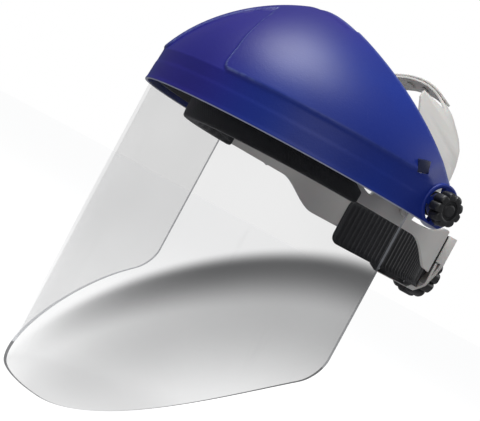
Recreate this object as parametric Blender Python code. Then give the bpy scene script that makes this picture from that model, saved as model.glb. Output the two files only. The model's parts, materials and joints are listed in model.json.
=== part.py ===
"""Face shield: a ratchet headband that carries a turning crown with a clear window.

Run with: blender --background --python part.py

The shield is modelled as worn. The origin is the middle of the line through the two temple
pivots, -Y points to the wearer's front, +X to the wearer's left and +Z up. Lengths here are
in millimetres and become metres when a mesh is made.
"""

import math

import bmesh
import bpy
from mathutils import Matrix, Vector

MM = 0.001
BEND_STEP = 8.0           # longest flat stretch of a bent plate
GAP = 0.3                 # free space between pieces that lie on each other

# Window: a flat sheet bent round half an ellipse
WINDOW_HALF_WIDTH = 107.4
WINDOW_DEPTH = 120.6      # from the ellipse's centre to its front
WINDOW_WALL = 2.0
WINDOW_TOP = 4.0
WINDOW_DROP_FRONT = 195.0  # below the crown's rim, at the middle
WINDOW_DROP_REAR = 108.0   # below the crown's rim, at the rear edges
WINDOW_TURN = 88.0         # degrees of the ellipse each way from the front
WINDOW_CORNER = 12.0
WINDOW_CORNER_TURN = 6.4   # degrees of the ellipse that the rounded corner takes
PEG_RADIUS = 2.0
PEG_TURNS = (-44.0, 0.0, 44.0)
PEG_HEIGHT = -3.0
RETAINER_WALL = 2.0       # strip behind the window's top
RETAINER_LOW = -9.0
RETAINER_TURN = 72.0      # degrees each way from the front

# Crown
CROWN_CENTRE_Y = -11.8
CROWN_WALL = 1.8
CROWN_RIM_Z = -12.7
CROWN_BAND_TOP = 8.8
CROWN_TOP = 85.2
CROWN_DRAFT = 1.0         # the band leans in by this much from rim to dome
DOME_START = 12.0         # degrees by which the dome already leans where the band ends
DOME_FRONT_POWER = 0.96   # above 1 the dome is more pointed than an ellipse
DOME_SIDE_POWER = 1.47
DOME_LIFT_POWER = 1.13    # above 1 the front rises late
CROWN_REAR_LOW = (6.2, 10.0)     # y, z of the sloping rear edge beside the ears
CROWN_REAR_HIGH = (-60.6, 75.1)  # y, z of the rear edge at the top
CROWN_REAR_RUN = 13.4     # the side walls run on behind the ellipse's centre
CROWN_CLEARANCE = 0.4     # between the window and the crown's band

# Ears and temple pivots, whose common axis is X
EAR_RADIUS = 13.8
EAR_WALL = 4.1
EAR_OUTER_X = WINDOW_HALF_WIDTH + 3.6
HUB_RADIUS = 7.4
OPENING_RADIUS = 11.4
STUD_RADIUS = 3.0
STUD_CLEARANCE = 0.25
SPACER_INNER_RADIUS = 6.0
SPACER_OUTER_RADIUS = 7.6
WASHER_WALL = 1.2
KNOB_RADIUS = 10.4
KNOB_WALL = 8.6
KNOB_LOBES = 9
KNOB_TOP_RADIUS = 5.2     # of the dish in the knob's face
KNOB_DISH = 1.4

# Window latches, one in each side of the crown
LATCH_Y = -23.8
LATCH_BUTTON_Z = 14.9
LATCH_PIN_Z = 20.0
LATCH_X = WINDOW_HALF_WIDTH * 0.905     # middle of the spring tongue
LATCH_FACE_X = WINDOW_HALF_WIDTH + 1.0  # outer face of the button
LATCH_WALL = 1.6
LATCH_BUTTON = (8.6, 7.4)  # along Y and along the wall's height
LATCH_PLAY = 0.4
LATCH_DROP = 1.0          # more room under the button, which tips down as it is pressed
LATCH_BOSS_Z = -3.0
LATCH_BOSS_RADIUS = 2.6
LATCH_PIN_RADIUS = 0.9

# Headband: a stadium seen from above
BAND_RADIUS = 73.0        # inside
BAND_WALL = 2.0
BAND_FRONT_Y = -25.8      # centre of the front half circle
BAND_REAR_Y = 19.2        # centre of the rear half circle
BAND_LOW = -19.6
BAND_SIDE_TOP = -12.2
BAND_FRONT_TOP = 5.0
TAB_TOP = 11.5
NAPE_LOW = -34.0
NAPE_TOP = -4.7
WING_END = 56.0           # degrees behind the side where the band's wings end
FRONT_RUN = BAND_RADIUS * math.pi / 2  # the band's plan from the middle to the side
SIDE_RUN = BAND_REAR_Y - BAND_FRONT_Y
SWEAT_WALL_IN = 5.0
SWEAT_WALL_OUT = 2.4
SWEAT_WALL_LOW = 1.8
SWEAT_END_Y = -28.8
NAPE_PAD_WALL = 3.0
NAPE_PAD_LOW = -45.7
NAPE_PAD_TURN = 44.0      # degrees each way from the rear's middle

# Overhead strap: two overlapping halves on one tilted arc
STRAP_TILT = math.radians(16.6)
STRAP_CENTRE = (0.0, 13.0, 0.0)
STRAP_WALL = 1.6
STRAP_HALF_WIDTH = 6.5    # of the narrow tongue over the top
STRAP_FOOT_HALF_WIDTH = 6.0
STRAP_LEG_SHAPE = (       # degrees from the top, width ahead of the arc, width behind it
    (38.0, 6.5, 6.5),
    (46.0, 36.0, 10.5),
    (52.0, 39.0, 12.5),
    (62.0, 36.0, 12.5),
    (70.0, 26.0, 12.5),
    (77.0, 13.0, 11.5),
    (84.0, 6.0, 6.0),
)
STRAP_LEG = 9.0           # straight run from the arc's end down to the band
STRAP_LEFT_END = 24.0     # degrees past the top at which the left half ends
STRAP_RIGHT_END = 26.0
STRAP_PEG_RADIUS = 1.8
STRAP_PEG_TURNS = (-6.0, 6.0)
STRAP_SLOT = (17.0, 4.6)  # half length in degrees, width
STRAP_RIVET_RADIUS = 1.6
STRAP_SLIDE = 4.0         # degrees that the right half slides each way
STRAP_LEFT_RADIUS = BAND_RADIUS + BAND_WALL + 2 * GAP
STRAP_RIGHT_RADIUS = STRAP_LEFT_RADIUS + STRAP_WALL + GAP
STRAP_FOOT_Y = STRAP_CENTRE[1] - STRAP_LEG * math.sin(STRAP_TILT)
STRAP_FOOT_Z = STRAP_CENTRE[2] - STRAP_LEG * math.cos(STRAP_TILT)

# Ratchet at the nape
RATCHET_Z = -34.0
HOUSING_TURN = 36.0       # degrees each way from the rear's middle
HOUSING_LOW = -49.0
HOUSING_TOP = -6.0
HOUSING_SLOPE = ((36.0, -25.0), (24.0, -42.5), (14.0, -49.0))  # turn, z of its cut-off lower corners
HOUSING_WALL = 2.0
HOUSING_BOSS = 3.4        # height of the round boss under the knob
HOUSING_BOSS_RADIUS = 10.0
TAIL_WALL = 1.4
TAIL_HALF_HEIGHT = 8.0
TAIL_INNER_END = 26.0     # degrees past the pinion at which a tail ends inside
TAIL_OUTER_END = 37.0     # degrees at which a tail ends behind the wing
PINION_TEETH = 10
PINION_PITCH_RADIUS = 4.6
TOOTH_HEIGHT = 0.75       # above and below the pitch line
MESH_CLEARANCE = 0.25
SHAFT_RADIUS = 2.4
NAPE_KNOB_RADIUS = 19.0
NAPE_KNOB_WALL = 13.0
NAPE_KNOB_LOBES = 12
SCREW_HIGH = (31.0, -11.0)  # turn, z
SCREW_LOW = (11.0, -46.0)
SCREW_RADIUS = 1.1
SCREW_HEAD_RADIUS = 1.9
BASE_WALL = 1.4
BASE_RADIUS = BAND_RADIUS + BAND_WALL + GAP  # the layers of the ratchet, from inside out
TAIL_RADII = {
    "left": BASE_RADIUS + BASE_WALL + 0.5,
    "right": BASE_RADIUS + BASE_WALL + TAIL_WALL + 0.8,
}
CAVITY_RADIUS = TAIL_RADII["right"] + TAIL_WALL + 0.5
COVER_RADIUS = CAVITY_RADIUS + HOUSING_WALL
TOOTH_PITCH = 2 * math.pi * PINION_PITCH_RADIUS / PINION_TEETH

SIDES = (("left", 1), ("right", -1))


# ---------------------------------------------------------------- helpers

def clear_scene():
    """Start from an empty scene."""
    for item in list(bpy.data.objects):
        bpy.data.objects.remove(item, do_unlink=True)


def material(name, colour, roughness, metallic=0.0, alpha=1.0):
    """A Principled material with the part's colour."""
    made = bpy.data.materials.new(name)
    made.use_nodes = True
    shader = made.node_tree.nodes["Principled BSDF"]
    shader.inputs["Base Color"].default_value = (*colour, 1.0)
    shader.inputs["Roughness"].default_value = roughness
    shader.inputs["Metallic"].default_value = metallic
    shader.inputs["Alpha"].default_value = alpha
    return made


def finish(bm, name, finish_material, sharp_angle=35.0):
    """Turn a bmesh in millimetres into a named object in metres."""
    bmesh.ops.remove_doubles(bm, verts=bm.verts, dist=1e-4)
    bmesh.ops.recalc_face_normals(bm, faces=bm.faces)
    bmesh.ops.scale(bm, vec=Vector((MM, MM, MM)), verts=bm.verts)
    mesh = bpy.data.meshes.new(name)
    bm.to_mesh(mesh)
    bm.free()
    mesh.shade_smooth()
    mesh.set_sharp_from_angle(angle=math.radians(sharp_angle))
    mesh.materials.append(finish_material)
    made = bpy.data.objects.new(name, mesh)
    bpy.context.scene.collection.objects.link(made)
    return made


def cutter(bm, name):
    """An object that only cuts others."""
    made = finish(bm, name, MATERIALS["steel"])
    made.hide_render = True
    made.display_type = "WIRE"
    return made


def boolean(target, tool, operation="DIFFERENCE"):
    """Add a Boolean modifier, with the exact solver."""
    step = target.modifiers.new(operation.lower(), "BOOLEAN")
    step.operation = operation
    step.object = tool
    step.solver = "EXACT"


def grid_solid(outer, inner):
    """A closed sheet between two grids of points, given as rows of equal length."""
    bm = bmesh.new()
    rows, columns = len(outer), len(outer[0])
    layers = [[[bm.verts.new(p) for p in row] for row in grid] for grid in (outer, inner)]
    for grid in layers:
        for i in range(rows - 1):
            for j in range(columns - 1):
                bm.faces.new((grid[i][j], grid[i][j + 1], grid[i + 1][j + 1], grid[i + 1][j]))
    border = [(0, j) for j in range(columns)]
    border += [(i, columns - 1) for i in range(1, rows)]
    border += [(rows - 1, j) for j in range(columns - 2, -1, -1)]
    border += [(i, 0) for i in range(rows - 2, 0, -1)]
    for (i, j), (k, l) in zip(border, border[1:] + border[:1]):
        bm.faces.new((layers[0][i][j], layers[0][k][l], layers[1][k][l], layers[1][i][j]))
    return bm


def swept_solid(sections):
    """A closed solid through equal rings of points, capped at both ends."""
    bm = bmesh.new()
    rings = [[bm.verts.new(p) for p in section] for section in sections]
    count = len(rings[0])
    for ring, following in zip(rings, rings[1:]):
        for j in range(count):
            k = (j + 1) % count
            bm.faces.new((ring[j], ring[k], following[k], following[j]))
    bm.faces.new(rings[0])
    bm.faces.new(list(reversed(rings[-1])))
    return bm


def turned(profile, steps=32):
    """A solid turned about the Z axis from (radius, height) points that form a loop.

    A profile that starts and ends at radius 0 gives a plain solid, any other a ring.
    """
    bm = bmesh.new()
    on_axis = profile[0][0] == 0
    rings = []
    for radius, height in profile:
        if radius == 0:
            rings.append([bm.verts.new((0, 0, height))])
            continue
        turn = [2 * math.pi * k / steps for k in range(steps)]
        rings.append([bm.verts.new((radius * math.cos(a), radius * math.sin(a), height)) for a in turn])
    pairs = list(zip(rings, rings[1:]))
    if not on_axis:
        pairs.append((rings[-1], rings[0]))
    for one, two in pairs:
        for k in range(steps):
            n = (k + 1) % steps
            corners = [one[k % len(one)], one[n % len(one)], two[n % len(two)], two[k % len(two)]]
            bm.faces.new(list(dict.fromkeys(corners)))
    return bm


def plate(outline, holes, depth):
    """A flat plate in the XZ plane, from y = 0 to y = depth, with holes."""
    bm = bmesh.new()
    edges = []
    for loop in [outline] + holes:
        verts = [bm.verts.new((x, 0, z)) for x, z in loop]
        edges += [bm.edges.new(pair) for pair in zip(verts, verts[1:] + verts[:1])]
    filled = bmesh.ops.triangle_fill(bm, edges=edges, use_beauty=True)
    faces = [item for item in filled["geom"] if isinstance(item, bmesh.types.BMFace)]
    lifted = bmesh.ops.extrude_face_region(bm, geom=faces)
    moved = [item for item in lifted["geom"] if isinstance(item, bmesh.types.BMVert)]
    bmesh.ops.translate(bm, vec=(0, depth, 0), verts=moved)
    return bm


def bend(bm, radius, step, limit=math.pi / 2):
    """Bend a plate round the Z axis: x becomes a turn, y = 0 lies on the radius.

    Past the limit on either side the plate runs on straight.
    """
    low = min(v.co.x for v in bm.verts)
    high = max(v.co.x for v in bm.verts)
    cuts = int((high - low) / step)
    for k in range(1, cuts + 1):
        place = low + (high - low) * k / (cuts + 1)
        geometry = bm.verts[:] + bm.edges[:] + bm.faces[:]
        bmesh.ops.bisect_plane(bm, geom=geometry, dist=1e-5, plane_co=(place, 0, 0), plane_no=(1, 0, 0))
    bmesh.ops.triangulate(bm, faces=bm.faces)
    for vert in bm.verts:
        x, y, z = vert.co
        turn = max(-limit, min(limit, x / radius))
        run = x - turn * radius
        across = radius + y
        vert.co = (across * math.sin(turn) + run * math.cos(turn),
                   across * math.cos(turn) - run * math.sin(turn), z)
    return bm


def rectangle(half_length, low, high, centre=0.0):
    """A rectangle's corners in the XZ plane."""
    return [(centre - half_length, low), (centre + half_length, low),
            (centre + half_length, high), (centre - half_length, high)]


def rounded(half_length, low, high, radius, centre=0.0, steps=4):
    """A rectangle with rounded corners, in the XZ plane."""
    right, left = centre + half_length - radius, centre - half_length + radius
    corners = [(right, low + radius, -90), (right, high - radius, 0),
               (left, high - radius, 90), (left, low + radius, 180)]
    points = []
    for x, z, start in corners:
        for k in range(steps + 1):
            turn = math.radians(start + 90 * k / steps)
            points.append((x + radius * math.cos(turn), z + radius * math.sin(turn)))
    return points


def circle(radius, x=0.0, z=0.0, steps=20):
    """A circle's points in the XZ plane."""
    turns = [2 * math.pi * k / steps for k in range(steps)]
    return [(x + radius * math.cos(a), z + radius * math.sin(a)) for a in turns]


def lobed(radius, lobes, depth, steps):
    """A hand knob's outline: round lobes with narrower valleys between them."""
    points = []
    for k in range(steps * lobes):
        turn = 2 * math.pi * k / (steps * lobes)
        wave = abs(math.cos(lobes * turn / 2))
        points.append(((radius - depth * (1 - wave) ** 2) * math.cos(turn),
                       (radius - depth * (1 - wave) ** 2) * math.sin(turn)))
    return points


def along_x(side, x):
    """Stand a piece made along +Z on the pivot axis: its z = 0 goes to |x|, outwards."""
    turn = Matrix.Rotation(math.radians(90 * side), 4, "Y")
    return Matrix.Translation((side * x, 0, 0)) @ turn


def along_y(x, y, z):
    """Stand a piece made along +Z so that it points to +Y, with its foot at a point."""
    return Matrix.Translation((x, y, z)) @ Matrix.Rotation(math.radians(-90), 4, "X")


def put(bm, matrix):
    """Move a bmesh."""
    bmesh.ops.transform(bm, matrix=matrix, verts=bm.verts)
    return bm


def smooth_step(value):
    """0 below 0, 1 above 1, and a smooth ramp between."""
    value = max(0.0, min(1.0, value))
    return value * value * (3 - 2 * value)


def box(low, high):
    """A box between two corners."""
    bm = bmesh.new()
    bmesh.ops.create_cube(bm, size=1.0)
    size = [b - a for a, b in zip(low, high)]
    middle = [(a + b) / 2 for a, b in zip(low, high)]
    bmesh.ops.scale(bm, vec=size, verts=bm.verts)
    bmesh.ops.translate(bm, vec=middle, verts=bm.verts)
    return bm


# ---------------------------------------------------------------- crown and window

def half_ellipse(turn, half_width, depth):
    """A point of the crown's plan at a turn from the front, in radians."""
    return half_width * math.sin(turn), CROWN_CENTRE_Y - depth * math.cos(turn)


def plan_stations(steps, rear_run):
    """(turn, run) pairs from the right rear to the left rear: run is behind the side."""
    half = math.pi / 2
    stations = [(-half, rear_run), (-half, rear_run / 2)]
    stations += [(-half + math.pi * k / steps, 0.0) for k in range(steps + 1)]
    return stations + [(half, rear_run / 2), (half, rear_run)]


def window_bottom(share, half_length):
    """Lower edge of the window against the share of its half length from the middle."""
    middle = CROWN_RIM_Z - WINDOW_DROP_FRONT
    side = CROWN_RIM_Z - WINDOW_DROP_REAR
    slope = (share ** 2.2 + smooth_step((share - 0.15) / 0.85)) / 2
    reach = 1 - WINDOW_CORNER / half_length
    past = min(1.0, max(0.0, (share - reach) / (1 - reach)))
    return middle + (side - middle) * slope + WINDOW_CORNER * (1 - math.sqrt(1 - past ** 2))


def make_window():
    """The bent clear sheet with its peg and latch holes."""
    side_turns = [WINDOW_TURN * k / 17 for k in range(17)]
    side_turns += [WINDOW_TURN - WINDOW_CORNER_TURN * k for k in (0.55, 0.3, 0.13, 0.04, 0)]
    turns = [math.radians(-a) for a in reversed(side_turns[1:])] + [math.radians(a) for a in side_turns]
    lengths = [0.0]
    points = [half_ellipse(turn, WINDOW_HALF_WIDTH, WINDOW_DEPTH) for turn in turns]
    for one, two in zip(points, points[1:]):
        lengths.append(lengths[-1] + math.dist(one, two))
    outer, inner = [], []
    for turn, length in zip(turns, lengths):
        share = abs(2 * length / lengths[-1] - 1)
        low = window_bottom(share, lengths[-1] / 2)
        heights = [low + (WINDOW_TOP - low) * k / 4 for k in range(5)]
        for grid, inset in ((outer, 0.0), (inner, WINDOW_WALL)):
            x, y = half_ellipse(turn, WINDOW_HALF_WIDTH - inset, WINDOW_DEPTH - inset)
            grid.append([(x, y, z) for z in heights])
    window = finish(grid_solid(outer, inner), "face_window", MATERIALS["window"])
    boolean(window, peg_cutter("window_peg_holes", PEG_RADIUS + 0.4))
    for name, side in SIDES:
        hole = turned([(0, 0), (LATCH_BOSS_RADIUS + 0.6, 0), (LATCH_BOSS_RADIUS + 0.6, 12), (0, 12)], 16)
        place = Matrix.Translation((0, LATCH_Y, LATCH_BOSS_Z)) @ along_x(side, LATCH_X)
        boolean(window, cutter(put(hole, place), "window_latch_hole_" + name))


def peg_places():
    """Frames on the window at the pegs, whose +Z points out of the shield."""
    places = []
    for turn in map(math.radians, PEG_TURNS):
        x, y = half_ellipse(turn, WINDOW_HALF_WIDTH, WINDOW_DEPTH)
        outward = Vector((math.sin(turn) / WINDOW_HALF_WIDTH, -math.cos(turn) / WINDOW_DEPTH, 0))
        turn_to = outward.to_track_quat("Z", "Y").to_matrix().to_4x4()
        places.append(Matrix.Translation((x, y, PEG_HEIGHT)) @ turn_to)
    return places


def peg_cutter(name, radius):
    """Round cutters at every peg."""
    whole = bmesh.new()
    for place in peg_places():
        peg = put(turned([(0, -9), (radius, -9), (radius, 1.5), (0, 1.5)], 14), place)
        add_to(whole, peg)
    return cutter(whole, name)


def add_to(whole, piece):
    """Copy one bmesh into another and free it."""
    made = [whole.verts.new(v.co) for v in piece.verts]
    piece.verts.index_update()
    for face in piece.faces:
        whole.faces.new([made[v.index] for v in face.verts])
    piece.free()


def make_pegs():
    """The moulded pegs that the window hangs on, with heads behind the retainer."""
    head = -WINDOW_WALL - RETAINER_WALL - 2 * GAP
    for name, place in zip(("right", "middle", "left"), peg_places()):
        profile = [(0, head - 1.2), (PEG_RADIUS + 1.6, head - 1.2), (PEG_RADIUS + 1.6, head),
                   (PEG_RADIUS, head), (PEG_RADIUS, 0.0), (0, 0.0)]
        finish(put(turned(profile, 14), place), "window_peg_" + name, MATERIALS["black"])


def make_retainer():
    """The strip behind the window's top that clamps it against the crown's band."""
    inset = WINDOW_WALL + GAP
    outer, inner = [], []
    for k in range(29):
        turn = math.radians(RETAINER_TURN * (k / 14 - 1))
        for grid, depth in ((outer, inset), (inner, inset + RETAINER_WALL)):
            x, y = half_ellipse(turn, WINDOW_HALF_WIDTH - depth, WINDOW_DEPTH - depth)
            grid.append([(x, y, RETAINER_LOW), (x, y, WINDOW_TOP)])
    retainer = finish(grid_solid(outer, inner), "window_retainer", MATERIALS["black"])
    boolean(retainer, peg_cutter("retainer_peg_holes", PEG_RADIUS + 0.4))


def crown_section(turn, run, inset):
    """Points of the crown from rim to rear edge along one station."""
    rim_width = WINDOW_HALF_WIDTH + CROWN_CLEARANCE + CROWN_WALL + CROWN_DRAFT - inset
    rim_depth = WINDOW_DEPTH + CROWN_CLEARANCE + CROWN_WALL + CROWN_DRAFT * 1.4 - inset
    points = []
    for k in range(3):
        share = k / 2
        z = CROWN_RIM_Z + (CROWN_BAND_TOP - CROWN_RIM_Z) * share
        x, y = half_ellipse(turn, rim_width - CROWN_DRAFT * share, rim_depth - 1.4 * CROWN_DRAFT * share)
        points.append((x, y + run, z))
    base_width = rim_width - CROWN_DRAFT
    base_depth = rim_depth - 1.4 * CROWN_DRAFT
    start = math.radians(DOME_START)
    rise = CROWN_TOP - inset - CROWN_BAND_TOP

    fullness = DOME_FRONT_POWER + (DOME_SIDE_POWER - DOME_FRONT_POWER) * math.sin(turn) ** 2
    lift = 1 + (DOME_LIFT_POWER - 1) * math.cos(turn) ** 2

    def dome(angle):
        reach = (math.cos(angle) / math.cos(start)) ** fullness
        x, y = half_ellipse(turn, base_width * reach, base_depth * reach)
        height = max(0.0, math.sin(angle) - math.sin(start)) / (1 - math.sin(start))
        return x, y + run, CROWN_BAND_TOP + rise * height ** lift

    low, high = start, math.pi / 2
    for _ in range(40):
        middle = (low + high) / 2
        if behind_rear_edge(dome(middle)):
            high = middle
        else:
            low = middle
    steps = 9
    points += [dome(start + (low - start) * k / steps) for k in range(1, steps + 1)]
    return points


def behind_rear_edge(point):
    """Whether a point lies behind the crown's sloping rear edge."""
    (y0, z0), (y1, z1) = CROWN_REAR_LOW, CROWN_REAR_HIGH
    return (point[1] - y0) * (z1 - z0) - (point[2] - z0) * (y1 - y0) > 0


def make_crown():
    """The crown's shell with its ears, arc openings and latch holes."""
    stations = plan_stations(36, CROWN_REAR_RUN)
    outer = [crown_section(turn, run, 0.0) for turn, run in stations]
    inner = [crown_section(turn, run, CROWN_WALL) for turn, run in stations]
    crown = finish(grid_solid(outer, inner), "crown_shell", MATERIALS["blue"])
    ears, holes = bmesh.new(), bmesh.new()
    for _, side in SIDES:
        disc = turned([(0, 0), (EAR_RADIUS, 0), (EAR_RADIUS, EAR_WALL), (0, EAR_WALL)], 40)
        add_to(ears, put(disc, along_x(side, EAR_OUTER_X - EAR_WALL)))
        add_ear_openings(holes, side)
        play = [d / 2 + LATCH_PLAY for d in LATCH_BUTTON]
        reach = sorted((side * LATCH_X, side * (LATCH_FACE_X + 5)))
        low = (reach[0], LATCH_Y - play[0], LATCH_BUTTON_Z - play[1] - LATCH_DROP)
        high = (reach[1], LATCH_Y + play[0], LATCH_BUTTON_Z + play[1])
        add_to(holes, box(low, high))
    boolean(crown, cutter(ears, "crown_ears"), "UNION")
    boolean(crown, cutter(holes, "crown_holes"))


def add_ear_openings(holes, side):
    """The stud's hole and the four arc openings of an ear."""
    depth = EAR_WALL + 5.0
    place = along_x(side, EAR_OUTER_X - EAR_WALL - 3)
    hole = STUD_RADIUS + STUD_CLEARANCE
    add_to(holes, put(turned([(0, 0), (hole, 0), (hole, depth), (0, depth)], 24), place))
    for k in range(4):
        middle = math.radians(45 + 90 * k)
        half = math.radians(33)
        turns = [middle - half + 2 * half * n / 6 for n in range(7)]
        loop = [(HUB_RADIUS * math.cos(a), HUB_RADIUS * math.sin(a)) for a in turns]
        loop += [(OPENING_RADIUS * math.cos(a), OPENING_RADIUS * math.sin(a)) for a in reversed(turns)]
        stand = Matrix.Rotation(math.radians(90), 4, "X")
        add_to(holes, put(plate(loop, [], depth), place @ stand))


# ---------------------------------------------------------------- temple pivots and latches

def make_pivots():
    """Spacer, washer, stud, insert and knob at each temple."""
    tab_outer = BAND_RADIUS + BAND_WALL
    ear_inner = EAR_OUTER_X - EAR_WALL
    spacer_end = ear_inner - WASHER_WALL - 2 * GAP
    bore = STUD_RADIUS + STUD_CLEARANCE
    knob_foot = EAR_OUTER_X + 0.5
    insert_radius = 5.0
    insert_end = 7.0
    for name, side in SIDES:
        length = spacer_end - tab_outer - GAP
        spacer = turned([(bore, 0), (SPACER_INNER_RADIUS, 0), (SPACER_INNER_RADIUS, 3),
                         (SPACER_OUTER_RADIUS, length * 0.55), (SPACER_OUTER_RADIUS, length), (bore, length)])
        finish(put(spacer, along_x(side, tab_outer + GAP)), "pivot_spacer_" + name, MATERIALS["black"])
        rim = HUB_RADIUS - 0.8
        washer = turned([(bore, 0), (rim, 0), (rim, WASHER_WALL), (bore, WASHER_WALL)])
        finish(put(washer, along_x(side, spacer_end + GAP)), "friction_washer_" + name, MATERIALS["steel"])
        start = BAND_RADIUS - 2.2
        end = knob_foot + insert_end + 1.0
        head = 1.9
        stud = turned([(0, 0), (6.0, 0), (6.0, head), (STUD_RADIUS, head), (STUD_RADIUS, end - start),
                       (0, end - start)], 24)
        finish(put(stud, along_x(side, start)), "pivot_stud_" + name, MATERIALS["steel"])
        insert = turned([(bore, 0.4), (insert_radius, 0.4), (insert_radius, insert_end),
                         (bore, insert_end)], 20)
        finish(put(insert, along_x(side, knob_foot)), "knob_insert_" + name, MATERIALS["brass"])
        make_pivot_knob(name, side, knob_foot, insert_radius + GAP, insert_end + 1.5)


def make_pivot_knob(name, side, foot, pocket_radius, pocket_depth):
    """The lobed temple knob, with a dished face and a pocket for its insert."""
    outline = lobed(KNOB_RADIUS, KNOB_LOBES, 2.2, 7)
    inner_outline = [(x * 0.93, z * 0.93) for x, z in outline]
    edge = 0.9
    sections = []
    heights = (0, edge, KNOB_WALL - edge, KNOB_WALL)
    for height, loop in zip(heights, (inner_outline, outline, outline, inner_outline)):
        sections.append([(x, z, height) for x, z in loop])
    knob = finish(put(swept_solid(sections), along_x(side, foot)), "pivot_knob_" + name, MATERIALS["black"])
    dish = turned([(0, KNOB_WALL - KNOB_DISH), (KNOB_TOP_RADIUS, KNOB_WALL - KNOB_DISH),
                   (KNOB_TOP_RADIUS + 1, KNOB_WALL + 1), (0, KNOB_WALL + 1)], 24)
    pocket = turned([(0, -1), (pocket_radius, -1), (pocket_radius, pocket_depth), (0, pocket_depth)], 24)
    boolean(knob, cutter(put(dish, along_x(side, foot)), "knob_dish_" + name))
    boolean(knob, cutter(put(pocket, along_x(side, foot)), "knob_pocket_" + name))


def make_latches():
    """A spring tongue with button and boss, its pin, and the bracket that holds the pin."""
    half = LATCH_WALL / 2
    wide = LATCH_BUTTON[0] / 2
    tall = LATCH_BUTTON[1] / 2
    button_face = LATCH_FACE_X - LATCH_X
    boss_tip = WINDOW_HALF_WIDTH - 0.9 - LATCH_X
    lug = 2.2
    pin_hole = LATCH_PIN_RADIUS + 0.2
    foot = LATCH_BOSS_Z - LATCH_BOSS_RADIUS - 1.6
    outline = [(-half, foot), (half, foot), (half, LATCH_BUTTON_Z - tall),
               (button_face, LATCH_BUTTON_Z - tall), (button_face, LATCH_BUTTON_Z + tall),
               (2.6, LATCH_BUTTON_Z + tall)]
    arc = [math.radians(-20 + 220 * k / 8) for k in range(9)]
    outline += [(2.0 * math.cos(a), LATCH_PIN_Z + 2.0 * math.sin(a)) for a in arc]
    outline.append((-half, LATCH_PIN_Z - 1.5))
    for name, side in SIDES:
        shape = [(side * (LATCH_X + x), z) for x, z in outline]
        hole = circle(pin_hole, side * LATCH_X, LATCH_PIN_Z, 12)
        tongue = put(plate(shape, [hole], 2 * wide), Matrix.Translation((0, LATCH_Y - wide, 0)))
        latch = finish(tongue, "window_latch_" + name, MATERIALS["blue"])
        boss = turned([(0, 0), (LATCH_BOSS_RADIUS, 0), (LATCH_BOSS_RADIUS, boss_tip), (0, boss_tip)], 16)
        place = Matrix.Translation((0, LATCH_Y, LATCH_BOSS_Z)) @ along_x(side, LATCH_X)
        tool = finish(put(boss, place), "latch_boss_" + name, MATERIALS["blue"])
        tool.hide_render = True
        tool.display_type = "WIRE"
        boolean(latch, tool, "UNION")
        reach = wide + GAP + lug
        pin = turned([(0, -reach), (LATCH_PIN_RADIUS, -reach), (LATCH_PIN_RADIUS, reach), (0, reach)], 12)
        pin_place = along_y(side * LATCH_X, LATCH_Y, LATCH_PIN_Z)
        finish(put(pin, pin_place), "latch_pin_" + name, MATERIALS["steel"])
        make_latch_bracket(name, side, wide + GAP, lug, pin_hole)


def make_latch_bracket(name, side, inner, lug, hole_radius):
    """Two lugs joined by a bridge behind the tongue's top."""
    back = LATCH_X - 5.2
    outline = [(LATCH_X + 1.3, LATCH_PIN_Z + 1.9), (LATCH_X + 1.3, LATCH_PIN_Z - 3.2),
               (back, LATCH_PIN_Z - 3.2), (back, LATCH_PIN_Z + 1.9)]
    shape = [(side * x, z) for x, z in outline]
    reach = inner + lug
    block = put(plate(shape, [], 2 * reach), Matrix.Translation((0, LATCH_Y - reach, 0)))
    bracket = finish(block, "latch_bracket_" + name, MATERIALS["blue"])
    low = (side * (LATCH_X - 3.4), LATCH_Y - inner, LATCH_PIN_Z - 6)
    high = (side * (LATCH_X + 4), LATCH_Y + inner, LATCH_PIN_Z + 6)
    boolean(bracket, cutter(box(low, high), "bracket_gap_" + name))
    drill = turned([(0, -reach - 1), (hole_radius, -reach - 1), (hole_radius, reach + 1), (0, reach + 1)], 12)
    place = along_y(side * LATCH_X, LATCH_Y, LATCH_PIN_Z)
    boolean(bracket, cutter(put(drill, place), "bracket_drill_" + name))


# ---------------------------------------------------------------- headband

def stadium(run, offset):
    """A point of the headband's plan, at a signed run from the front's middle."""
    side = 1 if run >= 0 else -1
    run = abs(run)
    radius = BAND_RADIUS + offset
    if run <= FRONT_RUN:
        turn = run / BAND_RADIUS
        return side * radius * math.sin(turn), BAND_FRONT_Y - radius * math.cos(turn)
    run -= FRONT_RUN
    if run <= SIDE_RUN:
        return side * radius, BAND_FRONT_Y + run
    turn = (run - SIDE_RUN) / BAND_RADIUS
    return side * radius * math.cos(turn), BAND_REAR_Y + radius * math.sin(turn)


def band_run(y):
    """Run at which the side of the band passes y."""
    return FRONT_RUN + y - BAND_FRONT_Y


def band_low(run):
    """Lower edge of the band: it widens in an S curve towards the nape."""
    begin = band_run(24.0)
    end = FRONT_RUN + SIDE_RUN + BAND_RADIUS * math.radians(30)
    return BAND_LOW + (NAPE_LOW - BAND_LOW) * smooth_step((run - begin) / (end - begin))


def band_high(run):
    """Upper edge of the band: tall at the brow, a tab at the temple, low behind it."""
    front = BAND_SIDE_TOP + (BAND_FRONT_TOP - BAND_SIDE_TOP) * smooth_step((band_run(-20.0) - run) / 40.0)
    tab = smooth_step((run - band_run(-21.0)) / 9.0) * smooth_step((band_run(11.5) - run) / 4.0)
    rear = smooth_step((run - band_run(30.0)) / 34.0)
    top = front + (NAPE_TOP - BAND_SIDE_TOP) * rear
    return top + (TAB_TOP - top) * tab


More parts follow.
